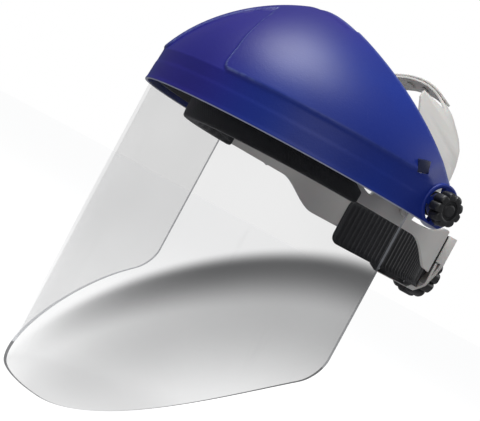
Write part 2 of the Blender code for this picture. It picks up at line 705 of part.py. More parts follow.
def make_headband():
    """The pale plastic band from wing to wing, with its two temple tabs."""
    last = FRONT_RUN + SIDE_RUN + BAND_RADIUS * math.radians(WING_END)
    count = 42
    runs = [last * k / count for k in range(count + 1)]
    runs = [-r for r in reversed(runs[1:])] + runs
    outer, inner = [], []
    for run in runs:
        low, high = band_low(abs(run)), band_high(abs(run))
        heights = [low + (high - low) * k / 3 for k in range(4)]
        for grid, offset in ((outer, BAND_WALL), (inner, 0.0)):
            x, y = stadium(run, offset)
            grid.append([(x, y, z) for z in heights])
    band = finish(grid_solid(outer, inner), "headband_frame", MATERIALS["pale"])
    hole = STUD_RADIUS + STUD_CLEARANCE
    for name, side in SIDES:
        drill = turned([(0, 0), (hole, 0), (hole, 12), (0, 12)], 20)
        boolean(band, cutter(put(drill, along_x(side, BAND_RADIUS - 5)), "tab_drill_" + name))
        drill = turned([(0, 0), (STRAP_RIVET_RADIUS + 0.2, 0), (STRAP_RIVET_RADIUS + 0.2, 12), (0, 12)], 16)
        place = Matrix.Translation((0, STRAP_FOOT_Y, STRAP_FOOT_Z)) @ along_x(side, BAND_RADIUS - 5)
        boolean(band, cutter(put(drill, place), "strap_drill_" + name))


def make_sweatband():
    """The padded wrap over the brow: an open channel that hangs over the band's lower edge."""
    end = band_run(SWEAT_END_Y)
    sections = []
    count = 24
    for k in range(2 * count + 1):
        run = end * (k - count) / count
        taper = 1.0 - 0.35 * smooth_step((abs(run) / end - 0.8) / 0.2)
        top_out = band_high(abs(run)) - 4.0
        top_in = band_high(abs(run)) - 2.0
        low = BAND_LOW - SWEAT_WALL_LOW
        outside = BAND_WALL + GAP + SWEAT_WALL_OUT
        inside = -GAP - SWEAT_WALL_IN * taper
        loop = [(outside, top_out), (outside, low + 1.2), (outside - 1.2, low), (inside + 1.8, low),
                (inside, low + 1.8), (inside, top_in - 1.2), (inside + 1.2, top_in), (-GAP, top_in),
                (-GAP, BAND_LOW - GAP), (BAND_WALL + GAP, BAND_LOW - GAP), (BAND_WALL + GAP, top_out)]
        section = []
        for offset, z in loop:
            x, y = stadium(run, offset)
            section.append((x, y, z))
        sections.append(section)
    finish(swept_solid(sections), "sweatband", MATERIALS["foam"])


def make_nape_pad():
    """The black pad inside the wings."""
    radius = BAND_RADIUS - GAP - NAPE_PAD_WALL
    half = radius * math.radians(NAPE_PAD_TURN)
    outline = rounded(half, NAPE_PAD_LOW, NAPE_TOP - 6.0, 6.0)
    pad = bend(plate(outline, [], NAPE_PAD_WALL), radius, BEND_STEP)
    finish(put(pad, Matrix.Translation((0, BAND_REAR_Y, 0))), "nape_pad", MATERIALS["foam"])


# ---------------------------------------------------------------- overhead strap

def strap_frame():
    """Frame of the strap's arc: local +Y is its top, local Z its axis."""
    sine, cosine = math.sin(STRAP_TILT), math.cos(STRAP_TILT)
    turn = Matrix(((-1, 0, 0, 0), (0, sine, cosine, 0), (0, cosine, -sine, 0), (0, 0, 0, 1)))
    return Matrix.Translation(STRAP_CENTRE) @ turn


def strap_outline(radius, side, end_degrees):
    """Outline of one half: the free end past the top, the narrow tongue, the broad leg, the foot."""
    points = [(radius * math.radians(-end_degrees), 3.0, 3.0)]
    points.append((radius * math.radians(3 - end_degrees), STRAP_HALF_WIDTH, STRAP_HALF_WIDTH))
    points += [(radius * math.radians(turn), front, rear) for turn, front, rear in STRAP_LEG_SHAPE]
    foot = radius * math.pi / 2 + STRAP_LEG
    points += [(foot + 2.0, STRAP_FOOT_HALF_WIDTH, STRAP_FOOT_HALF_WIDTH)]
    points += [(foot + 5.0, STRAP_FOOT_HALF_WIDTH * 0.6, STRAP_FOOT_HALF_WIDTH * 0.6)]
    rear_edge = [(side * x, rear) for x, _, rear in points]
    front_edge = [(side * x, -front) for x, front, _ in points]
    return rear_edge + list(reversed(front_edge))


def slot(centre, half_length, half_width, steps=5):
    """A round-ended slot along X."""
    points = []
    for side in (1, -1):
        for k in range(steps + 1):
            turn = math.radians(-90 + 180 * k / steps)
            points.append((centre + side * (half_length - half_width + half_width * math.cos(turn)),
                           side * half_width * math.sin(turn)))
    return points


def make_strap():
    """Left half with its pegs, right half with its slots, and the two foot rivets."""
    place = strap_frame()
    radius = STRAP_LEFT_RADIUS
    outline = strap_outline(radius, -1, STRAP_LEFT_END)
    foot = -(radius * math.pi / 2 + STRAP_LEG)
    holes = [circle(STRAP_RIVET_RADIUS + 0.2, foot, 0, 12)]
    holes += [circle(STRAP_PEG_RADIUS + 0.2, radius * math.radians(a), 0, 12) for a in STRAP_PEG_TURNS]
    left = bend(plate(outline, holes, STRAP_WALL), radius, BEND_STEP)
    finish(put(left, place), "overhead_strap_left", MATERIALS["pale"])

    radius = STRAP_RIGHT_RADIUS
    outline = strap_outline(radius, 1, STRAP_RIGHT_END)
    length = radius * math.radians(STRAP_SLOT[0])
    holes = [slot(0.0, length, STRAP_SLOT[1] / 2)]
    foot = radius * math.pi / 2 + STRAP_LEG
    holes.append(slot(foot, 8.5, STRAP_RIVET_RADIUS + 0.4))
    outline = [(x + 6.0 if x > foot else x, z) for x, z in outline]
    right = bend(plate(outline, holes, STRAP_WALL), radius, BEND_STEP)
    finish(put(right, place), "overhead_strap_right", MATERIALS["pale"])

    inner = STRAP_LEFT_RADIUS - 1.3
    for name, degrees in zip(("right", "left"), STRAP_PEG_TURNS):
        shank = STRAP_RIGHT_RADIUS + STRAP_WALL + GAP
        head = STRAP_PEG_RADIUS + 0.9
        peg = turned([(0, inner), (head, inner), (head, inner + 1.0), (STRAP_PEG_RADIUS, inner + 1.0),
                      (STRAP_PEG_RADIUS, shank), (head + 0.6, shank), (STRAP_PEG_RADIUS, shank + 1.0),
                      (0, shank + 1.0)], 14)
        turn = Matrix.Rotation(math.radians(-degrees), 4, "Z") @ Matrix.Rotation(math.radians(-90), 4, "X")
        finish(put(peg, place @ turn), "strap_peg_" + name, MATERIALS["pale"])
    swing = STRAP_LEG * math.sin(math.radians(STRAP_SLIDE))
    outer_ends = {"left": STRAP_LEFT_RADIUS + STRAP_WALL + GAP,
                  "right": STRAP_RIGHT_RADIUS + STRAP_WALL + 2 * GAP + swing}
    for name, side in SIDES:
        outer = outer_ends[name]
        start = BAND_RADIUS - 1.4
        shank = outer - start
        rivet = turned([(0, 0), (3.2, 0), (3.2, 1.1), (STRAP_RIVET_RADIUS, 1.1), (STRAP_RIVET_RADIUS, shank),
                        (3.2, shank), (2.2, shank + 1.2), (0, shank + 1.2)], 16)
        spot = Matrix.Translation((0, STRAP_FOOT_Y, STRAP_FOOT_Z)) @ along_x(side, start)
        finish(put(rivet, spot), "strap_rivet_" + name, MATERIALS["pale"])


# ---------------------------------------------------------------- ratchet

def make_housing():
    """The cover, the inner plate and the screws between them."""
    rear = Matrix.Translation((0, BAND_REAR_Y, 0))
    foot = BASE_RADIUS + BASE_WALL + GAP
    outline = housing_outline(foot, 0.0)
    block = bend(plate(outline, [], COVER_RADIUS - foot), foot, BEND_STEP)
    cover = finish(put(block, rear), "ratchet_housing", MATERIALS["pale"])
    start = foot - 1.0
    depth = CAVITY_RADIUS - start
    inside = start * math.radians(HOUSING_TURN - 10)
    room = bend(plate(rectangle(inside, HOUSING_LOW + 3, HOUSING_TOP - 3), [], depth), start, BEND_STEP)
    boolean(cover, cutter(put(room, rear), "housing_room"))
    reach = TAIL_HALF_HEIGHT + 0.6
    outside = start * math.radians(HOUSING_TURN + 4)
    outline = rectangle(outside, RATCHET_Z - reach, RATCHET_Z + reach)
    way = bend(plate(outline, [], depth), start, BEND_STEP)
    boolean(cover, cutter(put(way, rear), "housing_tail_way"))
    bore = SHAFT_RADIUS + 0.3
    boss = turned([(0, -2), (HOUSING_BOSS_RADIUS + 1.5, -2), (HOUSING_BOSS_RADIUS + 1.5, 0),
                   (HOUSING_BOSS_RADIUS, HOUSING_BOSS), (0, HOUSING_BOSS)], 32)
    place = along_y(0, BAND_REAR_Y + COVER_RADIUS, RATCHET_Z)
    boolean(cover, cutter(put(boss, place), "housing_boss"), "UNION")
    drill = turned([(0, 0), (bore, 0), (bore, 24), (0, 24)], 20)
    place = along_y(0, BAND_REAR_Y + CAVITY_RADIUS - 3, RATCHET_Z)
    boolean(cover, cutter(put(drill, place), "housing_bore"))
    outline = housing_outline(BASE_RADIUS, 0.5)
    holes = [circle(SCREW_RADIUS + 0.2, BASE_RADIUS * math.radians(a), z, 10) for a, z in screw_places()]
    base = bend(plate(outline, holes, BASE_WALL), BASE_RADIUS, BEND_STEP)
    finish(put(base, rear), "housing_base", MATERIALS["black"])
    make_screws(cover, foot, rear)


def screw_places():
    """Turn in degrees and height of each housing screw."""
    return [(side * turn, z) for side in (-1, 1) for turn, z in (SCREW_LOW, SCREW_HIGH)]


def housing_outline(radius, inset):
    """The housing's outline, unrolled: square at the top, with sloping lower corners."""
    points = [(HOUSING_TURN, HOUSING_TOP - inset)]
    points += [(turn, z + inset) for turn, z in HOUSING_SLOPE]
    half = [(radius * math.radians(turn) - inset, z) for turn, z in points]
    return half + [(-x, z) for x, z in reversed(half)]


def make_screws(cover, foot, rear):
    """Screws from behind through the cover into the base, and their holes."""
    holes = bmesh.new()
    names = ("right_low", "right_high", "left_low", "left_high")
    for name, (degrees, z) in zip(names, screw_places()):
        turn = Matrix.Rotation(math.radians(-degrees), 4, "Z") @ Matrix.Rotation(math.radians(-90), 4, "X")
        place = rear @ Matrix.Translation((0, 0, z)) @ turn
        tip = BASE_RADIUS + 0.3
        seat = COVER_RADIUS - 1.0
        top = COVER_RADIUS + 0.3
        screw = turned([(0, tip), (SCREW_RADIUS, tip), (SCREW_RADIUS, seat + GAP),
                        (SCREW_HEAD_RADIUS, seat + GAP), (SCREW_HEAD_RADIUS, top), (0, top)], 14)
        finish(put(screw, place), "housing_screw_" + name, MATERIALS["steel"])
        drill = turned([(0, foot - 2), (SCREW_RADIUS + 0.25, foot - 2), (SCREW_RADIUS + 0.25, seat),
                        (SCREW_HEAD_RADIUS + 0.25, seat), (SCREW_HEAD_RADIUS + 0.25, COVER_RADIUS + 2),
                        (0, COVER_RADIUS + 2)], 14)
        add_to(holes, put(drill, place))
    boolean(cover, cutter(holes, "housing_screw_holes"))


def make_tails():
    """The two toothed tails, which overlap round the pinion."""
    for name, side in SIDES:
        radius = TAIL_RADII[name]
        middle = radius + TAIL_WALL / 2
        stretch = radius / middle
        outer_end = side * radius * math.radians(TAIL_OUTER_END)
        inner_end = -side * radius * math.radians(TAIL_INNER_END)
        low, high = RATCHET_Z - TAIL_HALF_HEIGHT, RATCHET_Z + TAIL_HALF_HEIGHT
        centre = (outer_end + inner_end) / 2
        outline = rounded(abs(outer_end - inner_end) / 2, low, high, 3.0, centre)
        teeth = round(math.radians(TAIL_INNER_END - 4) * middle / TOOTH_PITCH)
        loop = rack_slot(teeth, side, stretch)
        tail = bend(plate(outline, [loop], TAIL_WALL), radius, BEND_STEP)
        finish(put(tail, Matrix.Translation((0, BAND_REAR_Y, 0))), "rack_tail_" + name, MATERIALS["pale"])


def rack_slot(teeth, side, stretch):
    """A slot along the tail with rack teeth on one edge, in mesh with the pinion at x = 0."""
    tip = PINION_PITCH_RADIUS - TOOTH_HEIGHT + MESH_CLEARANCE
    root = PINION_PITCH_RADIUS + TOOTH_HEIGHT + MESH_CLEARANCE
    quarter = TOOTH_PITCH / 4
    flank = TOOTH_HEIGHT * 0.45
    thin = 0.12
    points = []
    for k in range(-teeth, teeth + 1):
        middle = (k + 0.5) * TOOTH_PITCH
        half_root = quarter + flank - thin
        half_tip = quarter - flank - thin
        points += [(middle - half_root, root), (middle - half_tip, tip), (middle + half_tip, tip),
                   (middle + half_root, root)]
    far = -(PINION_PITCH_RADIUS + TOOTH_HEIGHT + 0.4)
    start, end = points[0][0] - 0.5, points[-1][0] + 0.5
    loop = [(start, far), (start, root)] + points + [(end, root), (end, far)]
    return [(x * stretch, RATCHET_Z + side * z) for x, z in loop]


def make_pinion():
    """The pinion with its shaft, the detent washer and the nape knob."""
    points = []
    quarter = math.pi / PINION_TEETH / 2
    spread = 0.45 * TOOTH_HEIGHT / PINION_PITCH_RADIUS
    for k in range(PINION_TEETH):
        middle = math.pi / 2 + 2 * math.pi * k / PINION_TEETH
        low, high = PINION_PITCH_RADIUS - TOOTH_HEIGHT, PINION_PITCH_RADIUS + TOOTH_HEIGHT
        for turn, radius in ((-quarter - spread, low), (-quarter + spread, high),
                             (quarter - spread, high), (quarter + spread, low)):
            points.append((radius * math.cos(middle + turn), radius * math.sin(middle + turn)))
    foot = BASE_RADIUS + BASE_WALL + 0.3
    top = CAVITY_RADIUS - 0.3
    sections = [[(x, z, height) for x, z in points] for height in (0, top - foot)]
    pinion = finish(put(swept_solid(sections), along_y(0, BAND_REAR_Y + foot, RATCHET_Z)), "pinion",
                    MATERIALS["black"])
    knob_foot = COVER_RADIUS + HOUSING_BOSS + 1.3
    shaft_end = knob_foot + NAPE_KNOB_WALL * 0.6
    shaft = turned([(0, 1), (SHAFT_RADIUS, 1), (SHAFT_RADIUS, shaft_end - foot), (0, shaft_end - foot)], 20)
    tool = finish(put(shaft, along_y(0, BAND_REAR_Y + foot, RATCHET_Z)), "pinion_shaft", MATERIALS["black"])
    tool.hide_render = True
    tool.display_type = "WIRE"
    boolean(pinion, tool, "UNION")
    washer_foot = BAND_REAR_Y + COVER_RADIUS + HOUSING_BOSS + GAP
    washer = turned([(SHAFT_RADIUS + 0.4, 0), (8.0, 0), (8.0, 0.7), (SHAFT_RADIUS + 0.4, 0.7)], 24)
    finish(put(washer, along_y(0, washer_foot, RATCHET_Z)), "detent_washer", MATERIALS["steel"])
    make_nape_knob(knob_foot, shaft_end)


def make_nape_knob(foot, shaft_end):
    """The lobed ratchet knob with its dished face."""
    outline = lobed(NAPE_KNOB_RADIUS, NAPE_KNOB_LOBES, 2.6, 7)
    small = [(x * 0.94, z * 0.94) for x, z in outline]
    sections = []
    heights = (0, 1.2, NAPE_KNOB_WALL - 1.2, NAPE_KNOB_WALL)
    for height, loop in zip(heights, (small, outline, outline, small)):
        sections.append([(x, z, height) for x, z in loop])
    place = along_y(0, BAND_REAR_Y + foot, RATCHET_Z)
    knob = finish(put(swept_solid(sections), place), "ratchet_knob", MATERIALS["black"])
    dish = turned([(0, NAPE_KNOB_WALL - 2.5), (10.5, NAPE_KNOB_WALL - 2.5), (12.5, NAPE_KNOB_WALL + 1),
                   (0, NAPE_KNOB_WALL + 1)], 28)
    bore = SHAFT_RADIUS + GAP
    depth = shaft_end - foot + GAP
    pocket = turned([(0, -1), (bore, -1), (bore, depth), (0, depth)], 20)
    boolean(knob, cutter(put(dish, place), "nape_knob_dish"))
    boolean(knob, cutter(put(pocket, place), "nape_knob_pocket"))


# ---------------------------------------------------------------- build

clear_scene()
MATERIALS = {
    "blue": material("blue_plastic", (0.045, 0.075, 0.33), 0.38),
    "window": material("clear_sheet", (0.9, 0.92, 0.95), 0.05, alpha=0.25),
    "black": material("black_plastic", (0.012, 0.012, 0.014), 0.4),
    "pale": material("pale_plastic", (0.62, 0.61, 0.58), 0.45),
    "foam": material("black_foam", (0.01, 0.01, 0.011), 0.8),
    "steel": material("zinc_steel", (0.6, 0.6, 0.62), 0.35, 1.0),
    "brass": material("brass", (0.7, 0.5, 0.2), 0.35, 1.0),
}
make_crown()
make_window()
make_retainer()
make_pegs()
make_pivots()
make_latches()
make_headband()
make_sweatband()
make_nape_pad()
make_strap()
make_housing()
make_tails()
make_pinion()
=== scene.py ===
import json
import math

import bmesh
import bpy
from mathutils import Matrix, Vector


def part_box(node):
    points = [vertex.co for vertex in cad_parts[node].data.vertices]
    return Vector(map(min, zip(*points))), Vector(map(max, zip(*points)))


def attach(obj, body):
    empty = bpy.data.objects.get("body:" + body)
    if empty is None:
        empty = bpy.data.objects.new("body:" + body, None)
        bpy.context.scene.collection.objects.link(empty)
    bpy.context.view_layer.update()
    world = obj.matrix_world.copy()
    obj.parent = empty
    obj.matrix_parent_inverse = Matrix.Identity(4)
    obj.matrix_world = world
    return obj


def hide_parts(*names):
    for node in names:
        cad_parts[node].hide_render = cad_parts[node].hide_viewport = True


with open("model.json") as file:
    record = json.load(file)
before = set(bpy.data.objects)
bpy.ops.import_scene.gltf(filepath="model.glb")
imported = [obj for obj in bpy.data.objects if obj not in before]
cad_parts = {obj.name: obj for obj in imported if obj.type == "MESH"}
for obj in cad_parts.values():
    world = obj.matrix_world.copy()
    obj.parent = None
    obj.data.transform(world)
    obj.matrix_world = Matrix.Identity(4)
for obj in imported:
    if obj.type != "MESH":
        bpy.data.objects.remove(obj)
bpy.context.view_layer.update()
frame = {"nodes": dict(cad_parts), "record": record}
NODES = frame["nodes"]
MM = 0.001

# ---------------------------------------------------------------- sizes, in millimetres

CENTRE_Y = -11.8              # middle of the half ellipse that the visor bends round
SHEET_HALF_WIDTH = 107.4
SHEET_DEPTH = 120.6
SHEET_WALL = 2.0
SHEET_TOP = 4.0
SHEET_TURN = 88.0
SHEET_CORNER = 12.0
SHEET_LOW_FRONT = -207.7
SHEET_LOW_REAR = -120.7

SHELL_WALL = 1.8
SHELL_GROW = 2.2              # the crown's outside lies this far out from the sheet
RIM_Z = -12.7
BAND_TOP = 8.8
DOME_TOP = 85.2
DRAFT = 1.0
FRONT_DRAFT = 1.4 * DRAFT
DOME_START = math.radians(12.0)
DOME_FRONT_FULLNESS = 0.96    # above 1 the dome is more pointed than an ellipse
DOME_SIDE_FULLNESS = 0.51     # more of that at the sides
DOME_LATE_RISE = 0.13         # how much later the front rises
BAND_SHARE = 0.155            # share of the crown's rows that the brow band takes
HALF_LENGTH = 190.0           # of the rim, over which the crown's columns are spread
REAR_RUN = 13.4
REAR_LOW = (6.2, 10.0)
REAR_HIGH = (-60.6, 75.1)
PANEL_RISE = 1.3

EAR_RADIUS = 13.8
EAR_WALL = 4.1
EAR_OUTER_X = 111.0
KNOB_FOOT_X = 111.5

LATCH_Y = -23.8
LATCH_Z = 14.9
LATCH_FACE_X = 108.4
BUTTON_SIZE = (8.6, 7.4)      # along and up
BUTTON_LEAN = math.radians(16)  # the button's top leans forward

BAND_RADIUS = 73.0
BAND_WALL = 2.0
BAND_FRONT_Y = -25.8
BAND_REAR_Y = 19.2
FRONT_RUN = BAND_RADIUS * math.pi / 2
SIDE_RUN = BAND_REAR_Y - BAND_FRONT_Y
BAND_LOW = -19.6
WING_DROP = -14.4             # how far the wing reaches below the band
NAPE_Z = -34.0                # height of the ratchet's axis

SIDES = (("left", 1), ("right", -1))


# ---------------------------------------------------------------- shader maths

class Signal:
    """A socket's output that can stand in a sum."""

    def __init__(self, paint, socket):
        self.paint = paint
        self.socket = socket

    def maths(self, operation, *others):
        values = dict(enumerate((self,) + others))
        return self.paint.node("Math", {"operation": operation}, values)

    def __add__(self, other):
        return self.maths("ADD", other)

    def __radd__(self, other):
        return self.maths("ADD", other)

    def __mul__(self, other):
        return self.maths("MULTIPLY", other)

    def __rmul__(self, other):
        return self.maths("MULTIPLY", other)

    def __sub__(self, other):
        return self.maths("SUBTRACT", other)

    def __rsub__(self, other):
        return self.paint.node("Math", {"operation": "SUBTRACT"}, {0: other, 1: self})

    def __truediv__(self, other):
        return self.maths("DIVIDE", other)

    def __pow__(self, other):
        return self.maths("POWER", other)

    def __abs__(self):
        return self.maths("ABSOLUTE")

    def ramp(self, low, high, start=0.0, end=1.0):
        """A smooth change from start to end while this goes from low to high."""
        settings = {"interpolation_type": "SMOOTHSTEP"}
        return self.paint.node("MapRange", settings, {0: self, 1: low, 2: high, 3: start, 4: end})


class Paint:
    """A material that is put together node by node."""

    def __init__(self, name, **sockets):
        self.material = bpy.data.materials.new(name)
        self.material.use_nodes = True
        self.tree = self.material.node_tree
        self.shader = self.tree.nodes["Principled BSDF"]
        for socket, value in sockets.items():
            self.shader.inputs[socket.replace("_", " ")].default_value = value

    def node(self, kind, settings=None, values=None, output=0):
        """Any node: its settings first, then the values or links of its sockets."""
        made = self.tree.nodes.new("ShaderNode" + kind)
        for key, value in (settings or {}).items():
            setattr(made, key, value)
        for key, value in (values or {}).items():
            self.feed(made.inputs[key], value)
        return Signal(self, made.outputs[output])

    def feed(self, socket, value):
        if isinstance(value, Signal):
            self.tree.links.new(value.socket, socket)
        else:
            socket.default_value = value

    def place(self):
        return self.node("TexCoord", output="Object")

    def axis(self, letter):
        """One coordinate of the place on the object, in metres."""
        return self.node("SeparateXYZ", values={0: self.place()}, output=letter)

    def noise(self, scale, detail=2.0, roughness=0.5, stretch=None):
        where = self.place()
        if stretch:
            where = self.node("Mapping", values={"Vector": where, "Scale": stretch})
        values = {"Vector": where, "Scale": scale, "Detail": detail, "Roughness": roughness}
        return self.node("TexNoise", values=values)

    def mix(self, share, one, two):
        """A colour between two others."""
        made = self.node("Mix", {"data_type": "RGBA"}, {0: share, 6: one, 7: two}, output=2)
        return made

    def bump(self, height, distance, strength=1.0):
        values = {"Strength": strength, "Distance": distance, "Height": height}
        self.feed(self.shader.inputs["Normal"], self.node("Bump", values=values))

    def set(self, **sockets):
        for socket, value in sockets.items():
            self.feed(self.shader.inputs[socket.replace("_", " ")], value)


def colour(red, green, blue):
    return (red, green, blue, 1.0)


def blue_shell_paint():
    """Moulded blue plastic with a fine spark-eroded grain, painted pale highlights on its panel ridges, rear
    edge and rim, and painted shade on its front.
    """
    paint = Paint("blue_moulding", Specular_IOR_Level=0.3)
    cloud = paint.noise(14.0, 3.0)
    speck = paint.noise(900.0, 2.0, 0.6)
    # painted shade: the front, turned from the light, takes a darker, more purple blue than the sides
    side = abs(paint.axis("X")).ramp(0.015, 0.075)
    base = paint.mix(side, colour(0.022, 0.017, 0.215), colour(0.007, 0.029, 0.265))
    base = paint.mix(cloud.ramp(0.35, 0.7, 0.0, 0.35), base, colour(0.009, 0.015, 0.150))
    base = paint.mix(speck.ramp(0.55, 0.75, 0.0, 0.12), base, colour(0.05, 0.08, 0.32))
    # painted highlight: pale along the panel ridges and the rear edge, where those edges catch the light,
    # broken up by noise
    painted_edge_highlight = paint.node("Attribute", {"attribute_name": "painted_edge_highlight"}, output="Fac")
    patchy_edge_highlight = painted_edge_highlight * paint.noise(260.0, 2.0).ramp(0.25, 0.6, 0.35, 1.0)
    base = paint.mix(patchy_edge_highlight * 0.7, base, colour(0.22, 0.28, 0.52))
    # painted highlight: a pale band just above the rim, where its rounded lip catches the light
    painted_rim_highlight = paint.axis("Z").ramp((RIM_Z + 0.95) * MM, (RIM_Z + 0.35) * MM)
    base = paint.mix(painted_rim_highlight * 0.8, base, colour(0.42, 0.44, 0.52))
    paint.set(Base_Color=base)
    paint.set(Roughness=0.34 + 0.08 * speck + 0.08 * cloud)
    paint.bump(speck + 0.6 * paint.noise(330.0, 2.0), 0.00012, 0.45)
    return paint.material


def blue_button_paint():
    """The same plastic, darker and smoother on the pressed button."""
    paint = Paint("blue_button")
    speck = paint.noise(700.0, 2.0)
    base = paint.mix(speck, colour(0.009, 0.013, 0.050), colour(0.016, 0.024, 0.080))
    paint.set(Base_Color=base, Roughness=0.34 + 0.14 * speck)
    paint.bump(speck, 0.0001, 0.4)
    return paint.material


def clear_sheet_paint():
    """Clear sheet with a light grey tint, a painted shadow band low on the wearer's left and a little painted
    shade towards its lower edge.
    """
    paint = Paint("clear_sheet", Roughness=0.06, IOR=1.49, Specular_IOR_Level=0.35)
    left = paint.axis("X")
    height = paint.axis("Z")
    # painted shadow: a soft dark band low on the wearer's left, crisp at its upper edge and fading downwards
    below = -0.160 + 1.07 * left + 0.06 * paint.axis("Y") - height
    fade = below.ramp(0.008, 0.036, 1.0, 0.42) * below.ramp(0.045, 0.105, 1.0, 0.2)
    band = below.ramp(-0.003, 0.008) * fade
    painted_shadow = band * left.ramp(-0.020, 0.080, 0.05, 1.0)
    # painted shade: the sheet grows a little denser towards its lower edge
    low = height.ramp(-0.09, -0.17, 0.0, 0.012)
    haze = paint.noise(9.0, 2.0).ramp(0.3, 0.7, -0.012, 0.012)
    scuff = paint.noise(60.0, 4.0, 0.7, (1.0, 1.0, 0.15)).ramp(0.62, 0.78, 0.0, 0.03)
    # the painted shadow also darkens the sheet's colour
    tint_with_painted_shadow = paint.mix(painted_shadow, colour(0.045, 0.047, 0.052), colour(0.022, 0.023, 0.027))
    paint.set(Base_Color=tint_with_painted_shadow, Alpha=0.10 + 0.58 * painted_shadow + low + haze + scuff)
    paint.set(Roughness=0.05 + 1.2 * scuff)
    return paint.material


def sheet_edge_paint(dark):
    """Sawn edge of the sheet, pale as a painted highlight where it gathers light, and dark as a painted
    reflection where it looks down.
    """
    tone = colour(0.035, 0.036, 0.042) if dark else colour(0.55, 0.57, 0.60)
    paint = Paint("sheet_edge_painted_reflection" if dark else "sheet_edge_painted_highlight", Alpha=0.85 if dark else 0.7)
    grain = paint.noise(500.0, 2.0)
    bright = colour(0.12, 0.12, 0.13) if dark else colour(0.42, 0.43, 0.46)
    paint.set(Base_Color=paint.mix(grain.ramp(0.3, 0.7, 0.0, 0.4), tone, bright))
    paint.set(Roughness=0.25 + 0.2 * grain)
    return paint.material


def pale_plastic_paint():
    """Satin polyethylene, a warm grey white that yellows a little in its thick places."""
    paint = Paint("pale_plastic", Subsurface_Weight=0.08, Subsurface_Scale=0.004)
    cloud = paint.noise(22.0, 3.0)
    grain = paint.noise(520.0, 2.0)
    base = paint.mix(cloud.ramp(0.3, 0.75), colour(0.64, 0.625, 0.595), colour(0.70, 0.69, 0.67))
    dust = paint.noise(75.0, 5.0, 0.75).ramp(0.60, 0.80, 0.0, 0.25)
    base = paint.mix(dust, base, colour(0.46, 0.44, 0.41))
    paint.set(Base_Color=base, Roughness=0.34 + 0.14 * grain + 0.08 * cloud)
    paint.bump(grain, 0.0001, 0.3)
    return paint.material


def black_pad_paint():
    """Black brushed fabric over foam: a fine rib weave with a little lint."""
    paint = Paint("black_pad", Sheen_Weight=0.25, Sheen_Roughness=0.5, Specular_IOR_Level=0.25)
    across = paint.node("TexWave", {"wave_type": "BANDS", "bands_direction": "Z"},
                        {"Vector": paint.place(), "Scale": 420.0, "Distortion": 1.2, "Detail": 1.0})
    along = paint.node("TexWave", {"wave_type": "BANDS", "bands_direction": "DIAGONAL"},
                       {"Vector": paint.place(), "Scale": 260.0, "Distortion": 1.0, "Detail": 1.0})
    weave = across * 0.6 + along * 0.4
    lint = paint.noise(420.0, 3.0, 0.7).ramp(0.62, 0.76)
    base = paint.mix(weave, colour(0.006, 0.006, 0.007), colour(0.020, 0.020, 0.022))
    base = paint.mix(lint * 0.5, base, colour(0.07, 0.07, 0.075))
    paint.set(Base_Color=base, Roughness=0.72 + 0.2 * weave)
    paint.bump(weave + 0.5 * lint, 0.00025, 0.6)
    return paint.material


def black_plastic_paint():
    """Black moulded nylon with a fine grain, light dust and a shine that varies at random."""
    paint = Paint("black_plastic")
    grain = paint.noise(620.0, 2.0)
    cloud = paint.noise(60.0, 3.0)
    base = paint.mix(grain, colour(0.009, 0.009, 0.010), colour(0.017, 0.017, 0.019))
    dust = paint.noise(160.0, 4.0, 0.7).ramp(0.60, 0.80, 0.0, 0.35)
    base = paint.mix(dust, base, colour(0.055, 0.055, 0.058))
    paint.set(Base_Color=base, Roughness=0.30 + 0.16 * grain + 0.14 * cloud)
    paint.bump(grain, 0.00012, 0.45)
    return paint.material


def metal_paint(name, base, dull):
    """Plated or turned metal with fine lines round its axis."""
    paint = Paint(name, Metallic=1.0)
    lines = paint.noise(300.0, 3.0, 0.6, (6.0, 1.0, 1.0))
    stain = paint.noise(90.0, 3.0)
    paint.set(Base_Color=paint.mix(stain.ramp(0.4, 0.75), base, dull))
    paint.set(Roughness=0.24 + 0.2 * lines + 0.1 * stain)
    paint.bump(lines, 0.00005, 0.3)
    return paint.material


BLUE = blue_shell_paint()
BUTTON = blue_button_paint()
CLEAR = clear_sheet_paint()
EDGE_HIGHLIGHT = sheet_edge_paint(False)
EDGE_REFLECTION = sheet_edge_paint(True)
PALE = pale_plastic_paint()
PAD = black_pad_paint()
BLACK = black_plastic_paint()
ZINC = metal_paint("zinc_plate", colour(0.62, 0.63, 0.65), colour(0.45, 0.45, 0.44))
BRASS = metal_paint("brass", colour(0.72, 0.52, 0.22), colour(0.50, 0.33, 0.13))


# ---------------------------------------------------------------- modelling by operator

def only(piece):
    """Select one object alone."""
    bpy.ops.object.select_all(action="DESELECT")
    piece.select_set(True)
    bpy.context.view_layer.objects.active = piece
    return piece


def start(kind, name, **settings):
    """Add a primitive under a name, with nothing else selected."""
    bpy.ops.object.select_all(action="DESELECT")
    getattr(bpy.ops.mesh, "primitive_" + kind + "_add")(**settings)
    piece = bpy.context.object
    piece.name = name
    piece.data.name = name
    return piece


def editing(piece, kind="FACE"):
    """Open a piece in edit mode with nothing selected."""
    only(piece)
    bpy.ops.object.mode_set(mode="EDIT")
    bpy.ops.mesh.select_mode(type=kind)
    bpy.ops.mesh.select_all(action="DESELECT")
    return bmesh.from_edit_mesh(piece.data)


def done():
    bpy.ops.object.mode_set(mode="OBJECT")


def pick(piece, kind, test):
    """Open a piece with those of its vertices, edges or faces selected that pass a test."""
    mesh = editing(piece, kind)
    items = {"VERT": mesh.verts, "EDGE": mesh.edges, "FACE": mesh.faces}[kind]
    for item in items:
        item.select = test(item)
    mesh.select_flush_mode()
    bmesh.update_edit_mesh(piece.data)
    return mesh


def modify(piece, kind, **settings):
    """Add a modifier and apply it."""
    only(piece)
    step = piece.modifiers.new(kind.lower(), kind)
    for key, value in settings.items():
        setattr(step, key, value)
    bpy.ops.object.modifier_apply(modifier=step.name)
    return piece


def settle(piece):
    """Move a piece's place into its mesh."""
    only(piece)
    bpy.ops.object.transform_apply(location=True, rotation=True, scale=True)
    return piece


